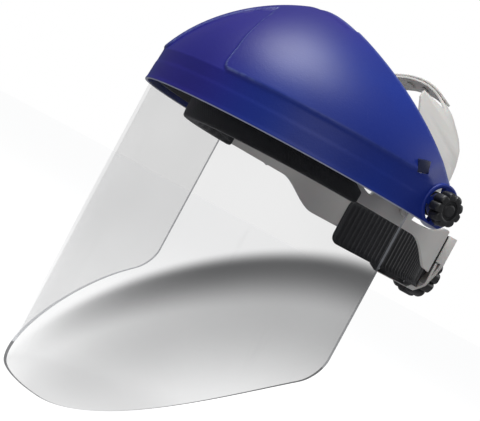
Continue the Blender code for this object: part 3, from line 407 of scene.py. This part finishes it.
def outward(piece):
    """Merge doubles and point the faces outwards."""
    editing(piece)
    bpy.ops.mesh.select_all(action="SELECT")
    bpy.ops.mesh.remove_doubles(threshold=1e-6)
    bpy.ops.mesh.normals_make_consistent(inside=False)
    done()
    return piece


def face_out(piece, centre=Vector((0, 0, 0))):
    """Turn an open skin's faces away from a point, if they face it."""
    face = piece.data.polygons[len(piece.data.polygons) // 2]
    if face.normal.dot(face.center - centre) < 0:
        editing(piece)
        bpy.ops.mesh.select_all(action="SELECT")
        bpy.ops.mesh.flip_normals()
        done()
    return piece


def smooth(piece, degrees=32.0):
    only(piece)
    bpy.ops.object.shade_smooth_by_angle(angle=math.radians(degrees))
    return piece


def carve(piece, tool, operation="DIFFERENCE"):
    """Cut or join with another piece, which is then gone."""
    modify(piece, "BOOLEAN", operation=operation, object=tool, solver="EXACT")
    bpy.data.objects.remove(tool, do_unlink=True)
    return piece


def finished(piece, body, paint, nodes=(), degrees=32.0):
    """Give a piece its finish, its body and the CAD nodes that it stands for."""
    settle(piece)
    smooth(piece, degrees)
    if not piece.data.materials:
        piece.data.materials.append(paint)
    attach(piece, body)
    if nodes:
        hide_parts(*nodes)
    return piece


def stand_x(side, x):
    """A piece made along +Z stands on the pivot axis and points outwards."""
    return Matrix.Translation((side * x * MM, 0, 0)) @ Matrix.Rotation(math.radians(90 * side), 4, "Y")


def stand_y(x, y, z):
    """A piece made along +Z points to the rear."""
    return Matrix.Translation((x * MM, y * MM, z * MM)) @ Matrix.Rotation(math.radians(-90), 4, "X")


def ringed(name, rings, steps, outline=None):
    """A piece drawn out of a circle, ring by ring: (radius, height) or (radius, height, lobes)."""
    piece = start("circle", name, vertices=steps, radius=MM, fill_type="NOTHING")
    flat = [Vector(vertex.co) for vertex in piece.data.vertices]
    editing(piece, "VERT")
    bpy.ops.mesh.select_all(action="SELECT")
    for _ in rings[1:]:
        bpy.ops.mesh.extrude_edges_move()
    done()
    for number, ring in enumerate(rings):
        radius, height = ring[:2]
        lobes = ring[2] if len(ring) > 2 else 0.0
        for k in range(steps):
            turn = math.atan2(flat[k].y, flat[k].x)
            reach = radius - (outline(turn) * lobes if outline else 0.0)
            place = Vector((reach * math.cos(turn), reach * math.sin(turn), height)) * MM
            piece.data.vertices[number * steps + k].co = place
    for number in (0, len(rings) - 1):
        last = set(range(number * steps, number * steps + steps))
        pick(piece, "VERT", lambda vertex: vertex.index in last)
        bpy.ops.mesh.edge_face_add()
        done()
    return outward(piece)


def softened(node, width, segments=2, angle=32.0):
    """A copy of a CAD solid with its edges rounded off."""
    piece = NODES[node].copy()
    piece.data = NODES[node].data.copy()
    piece.name = node + "_finished"
    piece.parent = None
    for key in list(piece.keys()):
        del piece[key]
    bpy.context.scene.collection.objects.link(piece)
    piece.data.materials.clear()
    outward(piece)
    editing(piece)
    bpy.ops.mesh.select_all(action="SELECT")
    bpy.ops.mesh.dissolve_limited(angle_limit=math.radians(0.6))
    done()
    modify(piece, "BEVEL", width=width * MM, segments=segments, limit_method="ANGLE",
           angle_limit=math.radians(angle), use_clamp_overlap=True, harden_normals=False)
    return piece


# ---------------------------------------------------------------- crown

def blend_step(value):
    """0 below 0, 1 above 1, with a smooth ramp between."""
    value = max(0.0, min(1.0, value))
    return value * value * (3 - 2 * value)


def plan(turn, half_width, depth):
    return half_width * math.sin(turn), CENTRE_Y - depth * math.cos(turn)


def arch_half_turn(share):
    """Half turn in degrees of the brow panel's arch, against the share of the dome's rise."""
    points = ((-0.4, 19.4), (-0.09, 19.0), (0.05, 17.5), (0.15, 16.0), (0.31, 11.5), (0.42, 7.0), (0.50, 0.0))
    if share >= points[-1][0]:
        return 0.0
    for (low, wide), (high, narrow) in zip(points, points[1:]):
        if share <= high:
            return wide + (narrow - wide) * (share - low) / (high - low)
    return 0.0


def panel_rise(turn, share):
    """Height of the raised panel over a place, and how strong the painted highlight on its ridge is."""
    round_reach = 2.0 * (abs(math.degrees(turn)) - arch_half_turn(share))
    if share > 0.40:
        round_reach = max(round_reach, (share - 0.50) * 170.0)
    up_reach = share * 95.0 - 1.0
    reach = min(round_reach, up_reach)
    corner = 5.0
    if round_reach < corner and up_reach < corner:
        gone = math.hypot(corner - round_reach, corner - up_reach)
        reach = corner - gone
    rise = blend_step((reach + 1.0) / 2.0)
    ridge = max(0.0, 1.0 - abs(reach - 0.8) / 0.75)
    fade = 1.0 - 0.85 * blend_step((round_reach - 8.0) / 26.0) * blend_step((round_reach - up_reach) / 3.0)
    return rise, ridge * fade


def crown_point(along, up, inset=0.0):
    """A point of the crown's outside, its turn and its share of the dome's rise, from two shares of -1..1 and
    0..1.
    """
    run_share = REAR_RUN / HALF_LENGTH
    ahead = min(1.0, abs(along) / (1 - run_share))
    run = max(0.0, abs(along) - (1 - run_share)) / run_share * REAR_RUN
    turn = math.copysign(ahead * math.pi / 2, along)
    width = SHEET_HALF_WIDTH + SHELL_GROW + DRAFT - inset
    depth = SHEET_DEPTH + SHELL_GROW + FRONT_DRAFT - inset
    if up <= BAND_SHARE:
        share = up / BAND_SHARE
        z = RIM_Z + (BAND_TOP - RIM_Z) * share
        x, y = plan(turn, width - DRAFT * share, depth - FRONT_DRAFT * share)
        dome_share = (share - 1.0) * 0.22
    else:
        dome_share = (up - BAND_SHARE) / (1 - BAND_SHARE)
        angle = DOME_START + (math.pi / 2 - DOME_START) * dome_share
        fullness = DOME_FRONT_FULLNESS + DOME_SIDE_FULLNESS * math.sin(turn) ** 2
        reach = (math.cos(angle) / math.cos(DOME_START)) ** fullness
        x, y = plan(turn, (width - DRAFT) * reach, (depth - FRONT_DRAFT) * reach)
        lift = max(0.0, math.sin(angle) - math.sin(DOME_START)) / (1 - math.sin(DOME_START))
        lift = lift ** (1 + DOME_LATE_RISE * math.cos(turn) ** 2)
        z = BAND_TOP + (DOME_TOP - BAND_TOP) * lift
    return Vector((x, y + run, z)), turn, dome_share


def crown_surface(along, up):
    """The crown's outside with its raised panels, beaded rim and rear hem."""
    place, turn, share = crown_point(along, up)
    one = crown_point(min(1.0, along + 0.004), up)[0] - crown_point(max(-1.0, along - 0.004), up)[0]
    two = crown_point(along, min(0.995, up + 0.004))[0] - crown_point(along, max(0.0, up - 0.004))[0]
    normal = one.cross(two).normalized()
    rise, ridge = panel_rise(turn, share)
    behind = rear_reach(place)
    hem = blend_step((7.0 - behind) / 1.6) * blend_step((34.0 - abs(place.x)) / 2.0)
    ledge = 0.45 * blend_step((share + 0.10) / 0.02) * (1.0 - rise)
    bead = 0.35 * math.exp(-((place.z - RIM_Z - 0.9) / 0.9) ** 2)
    near_ear = math.hypot(place.y, place.z)
    keep = blend_step((near_ear - 15.0) / 10.0)
    lift = (PANEL_RISE * rise - 0.9 * hem - ledge * 0.6) * keep + bead
    # strength of the painted highlight along the ridge and the rear edge
    painted_edge_highlight = max(ridge * keep, 0.5 * blend_step((2.0 - behind) / 2.0))
    return place + normal * lift, painted_edge_highlight


def rear_reach(place):
    """How far a place lies in front of the sloping rear edge."""
    (y0, z0), (y1, z1) = REAR_LOW, REAR_HIGH
    length = math.hypot(y1 - y0, z1 - z0)
    return -((place.y - y0) * (z1 - z0) - (place.z - z0) * (y1 - y0)) / length


def make_crown():
    """Crown: one bent skin given a wall, with ears, arc openings and button windows."""
    across, rows = 300, 116
    crown = start("grid", "crown", x_subdivisions=across, y_subdivisions=rows, size=2.0)
    # a point attribute that carries the painted highlight's strength to the blue material
    painted_edge_highlight = crown.data.attributes.new("painted_edge_highlight", "FLOAT", "POINT")
    marks = []
    for vertex in crown.data.vertices:
        along = vertex.co.x * (0.62 + 0.38 * vertex.co.x ** 2)
        row = (vertex.co.y + 1.0) / 2.0
        up = 0.75 * row if row < 0.4 else 0.30 + 1.05 * (row - 0.4)
        place, mark = crown_surface(along, up)
        vertex.co = place * MM
        marks.append(mark)
    painted_edge_highlight.data.foreach_set("value", marks)
    crown.data.update()
    normal = Vector((0, REAR_HIGH[1] - REAR_LOW[1], REAR_LOW[0] - REAR_HIGH[0]))
    editing(crown)
    bpy.ops.mesh.select_all(action="SELECT")
    bpy.ops.mesh.bisect(plane_co=Vector((0, REAR_LOW[0], REAR_LOW[1])) * MM, plane_no=normal,
                        clear_outer=True, clear_inner=False)
    done()
    face_out(crown, Vector((0, -0.03, 0.02)))
    modify(crown, "SOLIDIFY", thickness=SHELL_WALL * MM, offset=-1.0, use_even_offset=False)
    modify(crown, "BEVEL", width=0.5 * MM, segments=3, limit_method="ANGLE",
           angle_limit=math.radians(50), use_clamp_overlap=True)
    for name, side in SIDES:
        rings = [(EAR_RADIUS - 0.6, 0.0), (EAR_RADIUS, 0.5), (EAR_RADIUS, EAR_WALL - 0.9),
                 (EAR_RADIUS - 0.35, EAR_WALL - 0.3), (EAR_RADIUS - 1.0, EAR_WALL),
                 (EAR_RADIUS - 1.7, EAR_WALL), (EAR_RADIUS - 1.9, EAR_WALL - 0.15),
                 (7.9, EAR_WALL - 0.15), (7.7, EAR_WALL), (3.6, EAR_WALL)]
        ear = ringed("ear_" + name, rings, 72)
        ear.matrix_world = stand_x(side, EAR_OUTER_X - EAR_WALL)
        carve(crown, settle(ear), "UNION")
    for name, side in SIDES:
        hole = ringed("stud_hole_" + name, [(3.25, -4.0), (3.25, EAR_WALL + 4.0)], 40)
        hole.matrix_world = stand_x(side, EAR_OUTER_X - EAR_WALL)
        carve(crown, settle(hole))
        for quarter in range(4):
            carve(crown, arc_cutter(name, side, quarter))
        window = start("cube", "button_window_" + name, size=1.0)
        window.scale = (16 * MM, (BUTTON_SIZE[0] + 0.3) * MM, (BUTTON_SIZE[1] + 0.3) * MM)
        window.rotation_euler = (BUTTON_LEAN, 0, 0)
        window.location = (side * LATCH_FACE_X * MM, LATCH_Y * MM, LATCH_Z * MM)
        settle(window)
        modify(window, "BEVEL", width=0.9 * MM, segments=4, limit_method="ANGLE")
        carve(crown, window)
    finished(crown, "visor", BLUE, ["crown_shell"], 38.0)


def arc_cutter(name, side, quarter):
    """A cutter for one of the ear's four arc openings, spun round the pivot."""
    tool = start("plane", "arc_" + name + str(quarter), size=1.0)
    half = math.radians(33)
    middle = math.radians(45 + 90 * quarter)
    shape = ((7.4, -4.0), (11.4, -4.0), (11.4, EAR_WALL + 4.0), (7.4, EAR_WALL + 4.0))
    corners = [tool.data.vertices[i] for i in tool.data.polygons[0].vertices]
    for vertex, (radius, height) in zip(corners, shape):
        first = middle - half
        vertex.co = Vector((radius * math.cos(first), radius * math.sin(first), height)) * MM
    editing(tool)
    bpy.ops.mesh.select_all(action="SELECT")
    bpy.ops.mesh.spin(steps=10, angle=2 * half, center=(0, 0, 0), axis=(0, 0, 1))
    done()
    outward(tool)
    swept = sum(1 for vertex in tool.data.vertices
                if math.cos(math.atan2(vertex.co.y, vertex.co.x) - middle) > math.cos(half + 0.02))
    if swept < len(tool.data.vertices):
        tool.data.transform(Matrix.Rotation(2 * half, 4, "Z"))
    tool.matrix_world = stand_x(side, EAR_OUTER_X - EAR_WALL)
    return settle(tool)


# ---------------------------------------------------------------- window

def sheet_low(share, half_length):
    """The sheet's lower edge against the share of its half length from the middle."""
    slope = (share ** 2.2 + blend_step((share - 0.15) / 0.85)) / 2
    reach = 1 - SHEET_CORNER / half_length
    past = min(1.0, max(0.0, (share - reach) / (1 - reach)))
    rise = SHEET_LOW_REAR - SHEET_LOW_FRONT
    return SHEET_LOW_FRONT + rise * slope + SHEET_CORNER * (1 - math.sqrt(1 - past ** 2))


def make_window():
    """Window: a bent sheet with sawn edges and a round corner at each end."""
    across, rows = 260, 20
    window = start("grid", "window_sheet", x_subdivisions=across, y_subdivisions=rows, size=2.0)
    turns = [math.radians(SHEET_TURN) * k / 400 for k in range(401)]
    lengths = [0.0]
    spots = [plan(turn, SHEET_HALF_WIDTH, SHEET_DEPTH) for turn in turns]
    for one, two in zip(spots, spots[1:]):
        lengths.append(lengths[-1] + math.dist(one, two))
    for vertex in window.data.vertices:
        away = abs(vertex.co.x)
        if away > 0.9:
            away = 0.9 + 0.1 * math.sin((away - 0.9) / 0.1 * math.pi / 2)
        turn = math.copysign(math.radians(SHEET_TURN) * away, vertex.co.x)
        spot = away * 400
        k = min(399, int(spot))
        length = lengths[k] + (lengths[k + 1] - lengths[k]) * (spot - k)
        low = sheet_low(length / lengths[-1], lengths[-1])
        x, y = plan(turn, SHEET_HALF_WIDTH, SHEET_DEPTH)
        z = low + (SHEET_TOP - low) * (vertex.co.y + 1) / 2
        vertex.co = Vector((x, y, z)) * MM
    window.data.update()
    face_out(window)
    modify(window, "SOLIDIFY", thickness=SHEET_WALL * MM, offset=-1.0, use_even_offset=True)
    modify(window, "BEVEL", width=0.25 * MM, segments=2, limit_method="ANGLE",
           angle_limit=math.radians(50), use_clamp_overlap=True)
    for material in (CLEAR, EDGE_HIGHLIGHT, EDGE_REFLECTION):
        window.data.materials.append(material)
    for face in window.data.polygons:
        x, y, z = face.center
        radial = Vector((x / SHEET_HALF_WIDTH ** 2, (y - CENTRE_Y * MM) / SHEET_DEPTH ** 2, 0)).normalized()
        if abs(face.normal.dot(radial)) < 0.85:
            # downward edges on the near side take the painted dark reflection, all other edges the painted
            # highlight
            face.material_index = 2 if face.normal.z < -0.35 and x > -0.055 else 1
    finished(window, "visor", CLEAR, ["face_window"], 40.0)


# ---------------------------------------------------------------- headband and pads

def stadium(run, offset):
    """A point of the headband's plan, at a signed run from the middle of the brow."""
    side = 1 if run >= 0 else -1
    run = abs(run)
    radius = BAND_RADIUS + offset
    if run <= FRONT_RUN:
        turn = run / BAND_RADIUS
        return side * radius * math.sin(turn), BAND_FRONT_Y - radius * math.cos(turn)
    run -= FRONT_RUN
    if run <= SIDE_RUN:
        return side * radius, BAND_FRONT_Y + run
    turn = (run - SIDE_RUN) / BAND_RADIUS
    return side * radius * math.cos(turn), BAND_REAR_Y + radius * math.sin(turn)


def band_run(y):
    return FRONT_RUN + y - BAND_FRONT_Y


def band_low(run):
    begin = band_run(24.0)
    end = FRONT_RUN + SIDE_RUN + BAND_RADIUS * math.radians(30)
    return BAND_LOW + WING_DROP * blend_step((run - begin) / (end - begin))


def band_high(run):
    front = -12.2 + 17.2 * blend_step((band_run(-20.0) - run) / 40.0)
    tab = blend_step((run - band_run(-21.0)) / 9.0) * blend_step((band_run(11.5) - run) / 4.0)
    top = front + 7.5 * blend_step((run - band_run(30.0)) / 34.0)
    return top + (11.5 - top) * tab


def make_headband():
    """Headband: a strip bent round the head, with a tab at each temple."""
    last = FRONT_RUN + SIDE_RUN + BAND_RADIUS * math.radians(56.0)
    band = start("grid", "headband", x_subdivisions=280, y_subdivisions=16, size=2.0)
    for vertex in band.data.vertices:
        run = vertex.co.x * last
        share = (vertex.co.y + 1) / 2
        low, high = band_low(abs(run)), band_high(abs(run))
        round_off = 5.0 * (1 - math.sqrt(1 - min(1.0, max(0.0, (abs(run) - last + 5.0) / 5.0)) ** 2))
        x, y = stadium(run, BAND_WALL)
        z = low + round_off + (high - low - 2 * round_off) * share
        vertex.co = Vector((x, y, z)) * MM
    band.data.update()
    face_out(band)
    modify(band, "SOLIDIFY", thickness=BAND_WALL * MM, offset=-1.0)
    modify(band, "BEVEL", width=0.6 * MM, segments=3, limit_method="ANGLE",
           angle_limit=math.radians(50), use_clamp_overlap=True)
    for name, side in SIDES:
        hole = ringed("tab_hole_" + name, [(3.25, -6.0), (3.25, 6.0)], 32)
        hole.matrix_world = stand_x(side, BAND_RADIUS)
        carve(band, settle(hole))
    finished(band, "headband", PALE, ["headband_frame"], 40.0)


def puffed(piece, pressure, cap, held):
    """Blow a pad up a little with cloth, keep its held places, and cap how far it moves."""
    before = [Vector(vertex.co) for vertex in piece.data.vertices]
    group = piece.vertex_groups.new(name="held")
    for vertex in piece.data.vertices:
        group.add([vertex.index], held(vertex.co), "REPLACE")
    step = piece.modifiers.new("cloth", "CLOTH")
    step.settings.quality = 6
    step.settings.mass = 0.2
    step.settings.tension_stiffness = 12
    step.settings.compression_stiffness = 12
    step.settings.bending_stiffness = 0.6
    step.settings.use_pressure = True
    step.settings.uniform_pressure_force = pressure
    step.settings.vertex_group_mass = "held"
    step.settings.effector_weights.gravity = 0.0
    step.collision_settings.use_collision = False
    scene = bpy.context.scene
    for number in range(1, 16):
        scene.frame_set(number)
    only(piece)
    bpy.ops.object.modifier_apply(modifier=step.name)
    scene.frame_set(1)
    for vertex, old in zip(piece.data.vertices, before):
        move = vertex.co - old
        if move.length > cap * MM:
            vertex.co = old + move.normalized() * cap * MM
    piece.data.update()
    return piece


def strip(name, columns, loop_points, column_points):
    """A closed strip: a ring of points is carried along a line, and both ends are filled."""
    piece = start("circle", name, vertices=loop_points, radius=MM, fill_type="NOTHING")
    editing(piece, "VERT")
    bpy.ops.mesh.select_all(action="SELECT")
    for _ in range(columns):
        bpy.ops.mesh.extrude_edges_move()
    done()
    for column in range(columns + 1):
        for k, place in enumerate(column_points(column / columns)):
            piece.data.vertices[column * loop_points + k].co = Vector(place) * MM
    for column in (0, columns):
        last = set(range(column * loop_points, (column + 1) * loop_points))
        pick(piece, "VERT", lambda vertex: vertex.index in last)
        bpy.ops.mesh.edge_face_add()
        done()
    return outward(piece)


def make_sweatband():
    """Sweatband: a padded wrap that hangs over the lower edge of the band at the brow."""
    end = band_run(-28.8)
    shape = ((4.7, 0.0, -4.0), (4.7, 0.5, 0.0), (4.7, 1.0, 1.4), (4.0, 1.0, 0.35), (2.9, 1.0, 0.0),
             (0.5, 1.0, 0.0), (-3.0, 1.0, 0.0), (-4.3, 1.0, 0.6), (-5.0, 1.0, 1.9), (-5.3, 0.66, 0.0),
             (-5.3, 0.33, 0.0), (-5.0, 0.0, -3.6), (-4.0, 0.0, -2.4), (-2.0, 0.0, -2.0), (-0.4, 0.0, -2.2),
             (-0.3, 0.5, 0.0), (-0.3, 0.9, 0.3), (0.9, 0.9, 0.1), (2.3, 0.9, 0.3), (2.3, 0.5, 0.0),
             (2.4, 0.0, -4.2), (3.6, 0.0, -3.8))

    def section(share):
        run = end * (2 * share - 1)
        away = abs(run) / end
        taper = 1.0 - 0.35 * blend_step((away - 0.8) / 0.2)
        tuck = 1.0 + 0.05 * math.sin(run * 0.55)
        high, low = band_high(abs(run)), -21.4
        places = []
        for offset, down, extra in shape:
            across = offset * (taper if offset < -0.5 else 1.0) * (tuck if offset < -4 else 1.0)
            x, y = stadium(run, across)
            places.append((x, y, high + (low - high) * down + extra))
        return places

    pad = strip("sweatband_wrap", 150, len(shape), section)

    def held(place):
        behind = place.y * 1000 - BAND_FRONT_Y
        radius = math.hypot(place.x * 1000, min(0.0, behind))
        offset = radius - BAND_RADIUS
        return 1.0 if -1.0 < offset < 3.0 or place.y * 1000 > -31.0 else 0.0

    puffed(pad, 6.0, 0.5, held)
    modify(pad, "SUBSURF", levels=1, render_levels=1)
    finished(pad, "headband", PAD, ["sweatband"], 60.0)
    for name, depth in (("upper", 0.30), ("lower", 0.82)):
        make_stitch_line("sweatband_stitch_" + name, end * 0.97, depth)


def make_stitch_line(name, end, depth):
    """A raised row of thread along the pad's inner face."""

    def section(share):
        run = end * (2 * share - 1)
        away = abs(run) / end
        taper = 1.0 - 0.35 * blend_step((away - 0.8) / 0.2)
        high, low = band_high(abs(run)) - 2.6, -20.6
        z = high + (low - high) * depth
        wave = 0.22 + 0.16 * abs(math.sin(run * 1.1))
        places = []
        for k in range(6):
            turn = 2 * math.pi * k / 6
            x, y = stadium(run, -5.55 * taper + wave * math.cos(turn))
            places.append((x, y, z + wave * math.sin(turn)))
        return places

    thread = strip(name, 420, 6, section)
    finished(thread, "headband", BLACK, (), 80.0)


def make_nape_pad():
    """Nape pad: a soft plate with upright ribs on the side that meets the head."""
    outer = BAND_RADIUS - 0.3
    half = math.radians(44.0)
    low, high = -45.7, -10.7
    pad = start("grid", "nape_pad_ribbed", x_subdivisions=200, y_subdivisions=28, size=2.0)
    for vertex in pad.data.vertices:
        turn = vertex.co.x * half
        share = (vertex.co.y + 1) / 2
        edge = min(1.0, max(0.0, (abs(turn) - half) * outer / 6.0 + 1.0))
        round_off = 6.0 * (1 - math.sqrt(1 - edge ** 2))
        z = low + round_off + (high - low - 2 * round_off) * share
        border = min((half - abs(turn)) * outer, (share * (high - low)), (1 - share) * (high - low))
        rib = 0.5 + 0.5 * math.cos(turn * outer / 3.7 * 2 * math.pi)
        crown = 1.1 + (1.0 + 0.9 * rib ** 0.6) * blend_step((border - 0.5) / 2.5)
        radius = outer - crown
        vertex.co = Vector((radius * math.sin(turn), BAND_REAR_Y + radius * math.cos(turn), z)) * MM
    pad.data.update()
    lowest = [Vector(vertex.co) for vertex in pad.data.vertices]
    editing(pad)
    bpy.ops.mesh.select_all(action="SELECT")
    bpy.ops.mesh.extrude_region_move()
    done()
    for vertex in pad.data.vertices[len(lowest):]:
        flat = Vector((vertex.co.x, vertex.co.y - BAND_REAR_Y * MM, 0))
        place = flat.normalized() * (outer - 0.1) * MM
        vertex.co = Vector((place.x, place.y + BAND_REAR_Y * MM, vertex.co.z))
    pad.data.update()
    outward(pad)

    def held(place):
        radius = math.hypot(place.x, place.y - BAND_REAR_Y * MM) / MM
        return 1.0 if radius > outer - 0.6 else 0.0

    puffed(pad, 4.0, 0.4, held)
    finished(pad, "headband", PAD, ["nape_pad"], 60.0)


# ---------------------------------------------------------------- knobs and small parts

def lobe_wave(lobes):
    """Depth share of the valleys between a knob's lobes, against the turn."""

    def wave(turn):
        return (1 - abs(math.cos(lobes * turn / 2))) ** 2

    return wave


def make_temple_knob(name, side):
    """Temple knob: nine lobes, a dished face with a raised ring and a small hub."""
    rings = [(8.1, 0.0, 0.6), (9.6, 0.15, 1.7), (10.15, 0.7, 2.1), (10.4, 1.6, 2.3), (10.4, 6.6, 2.3),
             (10.15, 7.7, 2.2), (9.5, 8.4, 1.9), (8.7, 8.6, 1.5), (7.0, 8.6, 0.4), (6.3, 8.6, 0.0),
             (5.9, 8.35, 0.0), (5.6, 7.3, 0.0), (4.2, 7.15, 0.0), (3.9, 7.3, 0.0), (3.7, 8.1, 0.0),
             (3.4, 8.3, 0.0), (2.6, 8.35, 0.0), (0.5, 8.35, 0.0)]
    knob = ringed("temple_knob_" + name, rings, 144, lobe_wave(9))
    knob.matrix_world = stand_x(side, KNOB_FOOT_X)
    finished(knob, "pivot_knob_" + name, BLACK, ["pivot_knob_" + name], 50.0)


def make_nape_knob():
    """Ratchet knob: twelve lobes, a wide dish with a ring and a hub."""
    low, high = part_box("ratchet_knob")
    foot, wall = low[1] / MM, (high[1] - low[1]) / MM
    rings = [(16.2, 0.0, 0.8), (17.8, 0.2, 2.0), (18.6, 0.9, 2.6), (19.0, 2.0, 2.9), (19.0, wall - 2.6, 2.9),
             (18.7, wall - 1.2, 2.7), (17.9, wall - 0.35, 2.3), (16.8, wall, 1.8), (14.2, wall, 0.5),
             (13.2, wall, 0.0), (12.6, wall - 0.3, 0.0), (11.9, wall - 2.3, 0.0), (11.2, wall - 2.6, 0.0),
             (7.4, wall - 2.6, 0.0), (7.0, wall - 2.3, 0.0), (6.7, wall - 1.2, 0.0), (6.1, wall - 0.9, 0.0),
             (3.4, wall - 0.9, 0.0), (3.0, wall - 1.2, 0.0), (2.7, wall - 2.4, 0.0), (0.8, wall - 2.5, 0.0)]
    knob = ringed("nape_knob", rings, 168, lobe_wave(12))
    knob.matrix_world = stand_y(0, foot, NAPE_Z)
    finished(knob, "ratchet", BLACK, ["ratchet_knob"], 50.0)


def make_screw(node):
    """Housing screw: the turned body with a cross pressed into its domed head."""
    screw = softened(node, 0.25, 2, 40.0)
    low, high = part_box(node)
    middle = (Vector(low) + Vector(high)) / 2
    out = Vector((middle.x, middle.y - BAND_REAR_Y * MM, 0)).normalized()
    reach = max(Vector((v.co.x, v.co.y - BAND_REAR_Y * MM, 0)).dot(out) for v in screw.data.vertices)
    for turn in (0, 90):
        bar = start("cube", "screw_bar", size=1.0)
        aim = out.to_track_quat("Z", "Y").to_matrix().to_4x4()
        spot = Vector((0, BAND_REAR_Y * MM, middle.z)) + out * reach
        size = Matrix.Diagonal((2.6 * MM, 0.55 * MM, 1.6 * MM, 1.0))
        bar.matrix_world = Matrix.Translation(spot) @ aim @ Matrix.Rotation(math.radians(turn), 4, "Z") @ size
        carve(screw, settle(bar))
    finished(screw, "headband", ZINC, [node], 40.0)


def lean_button(latch):
    """Turn the square button at the end of a latch, so that its top leans forward."""
    centre = Vector((0, LATCH_Y, LATCH_Z)) * MM
    turn = Matrix.Translation(centre) @ Matrix.Rotation(BUTTON_LEAN, 4, "X") @ Matrix.Translation(-centre)
    for vertex in latch.data.vertices:
        if abs(vertex.co.x) > 99.5 * MM and vertex.co.z > 10.0 * MM:
            vertex.co = turn @ vertex.co
    latch.data.update()


def make_soft_copies():
    """The solids whose shape is already right get their edges rounded."""
    bodies = frame["record"]["behaviour"]["bodies"]
    body_of = {node: body for body, members in bodies.items() for node in members}
    widths = {"overhead_strap_left": (0.5, PALE), "overhead_strap_right": (0.5, PALE),
              "ratchet_housing": (0.9, PALE), "rack_tail_left": (0.2, PALE), "rack_tail_right": (0.2, PALE),
              "strap_peg_left": (0.35, PALE), "strap_peg_right": (0.35, PALE),
              "strap_rivet_left": (0.35, PALE), "strap_rivet_right": (0.35, PALE),
              "housing_base": (0.3, BLACK), "window_retainer": (0.4, BLACK), "pinion": (0.12, BLACK),
              "window_peg_left": (0.3, BLACK), "window_peg_middle": (0.3, BLACK),
              "window_peg_right": (0.3, BLACK),
              "pivot_spacer_left": (0.4, BLACK), "pivot_spacer_right": (0.4, BLACK),
              "window_latch_left": (0.5, BUTTON), "window_latch_right": (0.5, BUTTON),
              "latch_bracket_left": (0.4, BLUE), "latch_bracket_right": (0.4, BLUE),
              "latch_pin_left": (0.15, ZINC), "latch_pin_right": (0.15, ZINC),
              "friction_washer_left": (0.15, ZINC), "friction_washer_right": (0.15, ZINC),
              "pivot_stud_left": (0.35, ZINC), "pivot_stud_right": (0.35, ZINC),
              "detent_washer": (0.1, ZINC),
              "knob_insert_left": (0.2, BRASS), "knob_insert_right": (0.2, BRASS)}
    for node, (width, paint) in widths.items():
        piece = softened(node, width)
        if node.startswith("window_latch"):
            lean_button(piece)
        finished(piece, body_of[node], paint, [node], 35.0)


make_crown()
make_window()
make_headband()
make_sweatband()
make_nape_pad()
for side_name, side_sign in SIDES:
    make_temple_knob(side_name, side_sign)
make_nape_knob()
for screw_node in sorted(node for node in NODES if node.startswith("housing_screw")):
    make_screw(screw_node)
make_soft_copies()


# ---------------------------------------------------------------- studio

def make_studio():
    """A pale floor under the shield, a soft overhead light and two fills."""
    floor = start("plane", "studio_floor", size=60.0, location=(0, 0, (SHEET_LOW_FRONT - 0.6) * MM))
    paint = Paint("studio_floor", Roughness=0.9, Specular_IOR_Level=0.0, Emission_Strength=1.0)
    seen = paint.node("LightPath", output="Is Camera Ray")
    glow = paint.mix(seen, colour(0.10, 0.10, 0.11), colour(0.93, 0.93, 0.93))
    paint.set(Base_Color=colour(0.30, 0.30, 0.30), Emission_Color=glow)
    floor.data.materials.append(paint.material)
    world = bpy.data.worlds.new("studio")
    bpy.context.scene.world = world
    world.use_nodes = True
    tree = world.node_tree
    seen = tree.nodes["Background"]
    seen.inputs["Color"].default_value = (1.0, 1.0, 1.0, 1.0)
    seen.inputs["Strength"].default_value = 1.0
    fill = tree.nodes.new("ShaderNodeBackground")
    fill.inputs["Color"].default_value = (0.90, 0.94, 1.0, 1.0)
    fill.inputs["Strength"].default_value = 0.16
    path = tree.nodes.new("ShaderNodeLightPath")
    mixed = tree.nodes.new("ShaderNodeMixShader")
    tree.links.new(path.outputs["Is Camera Ray"], mixed.inputs[0])
    tree.links.new(fill.outputs[0], mixed.inputs[1])
    tree.links.new(seen.outputs[0], mixed.inputs[2])
    tree.links.new(mixed.outputs[0], tree.nodes["World Output"].inputs["Surface"])
    for name, place, size, power in (("overhead", (-0.13, -0.42, 1.25), (0.65, 0.65), 18.0),
                                     ("left", (1.3, -0.9, 0.7), (0.9, 0.9), 7.0),
                                     ("rear", (0.5, 1.2, 0.8), (0.8, 0.8), 6.0)):
        light = bpy.data.lights.new(name, "AREA")
        light.shape = "RECTANGLE"
        light.size, light.size_y = size
        light.energy = power
        lamp = bpy.data.objects.new(name, light)
        aim = Vector(place) - Vector((0.03, -0.04, -0.02))
        lamp.matrix_world = Matrix.Translation(place) @ aim.to_track_quat("Z", "Y").to_matrix().to_4x4()
        bpy.context.scene.collection.objects.link(lamp)


def make_camera():
    """The camera, ahead and to the wearer's left, tipped so that the shield leans."""
    data = bpy.data.cameras.new("camera")
    data.sensor_fit = "HORIZONTAL"
    data.sensor_width = 36.0
    data.lens = 96.26
    data.shift_x = -0.0633
    data.shift_y = 0.0729
    data.clip_start = 0.01
    camera = bpy.data.objects.new("camera", data)
    back = Vector((0.7952, -0.6062, 0.0112)).normalized()
    right = Vector((0.5292, 0.7031, 0.4750))
    right = (right - back * right.dot(back)).normalized()
    up = back.cross(right)
    turn = Matrix((right, up, back)).transposed().to_4x4()
    camera.matrix_world = Matrix.Translation((0.6604, -0.5152, -0.0584)) @ turn
    bpy.context.scene.collection.objects.link(camera)
    bpy.context.scene.camera = camera


make_studio()
make_camera()
bpy.context.scene.view_settings.view_transform = "Standard"
bpy.context.scene.view_settings.look = "None"
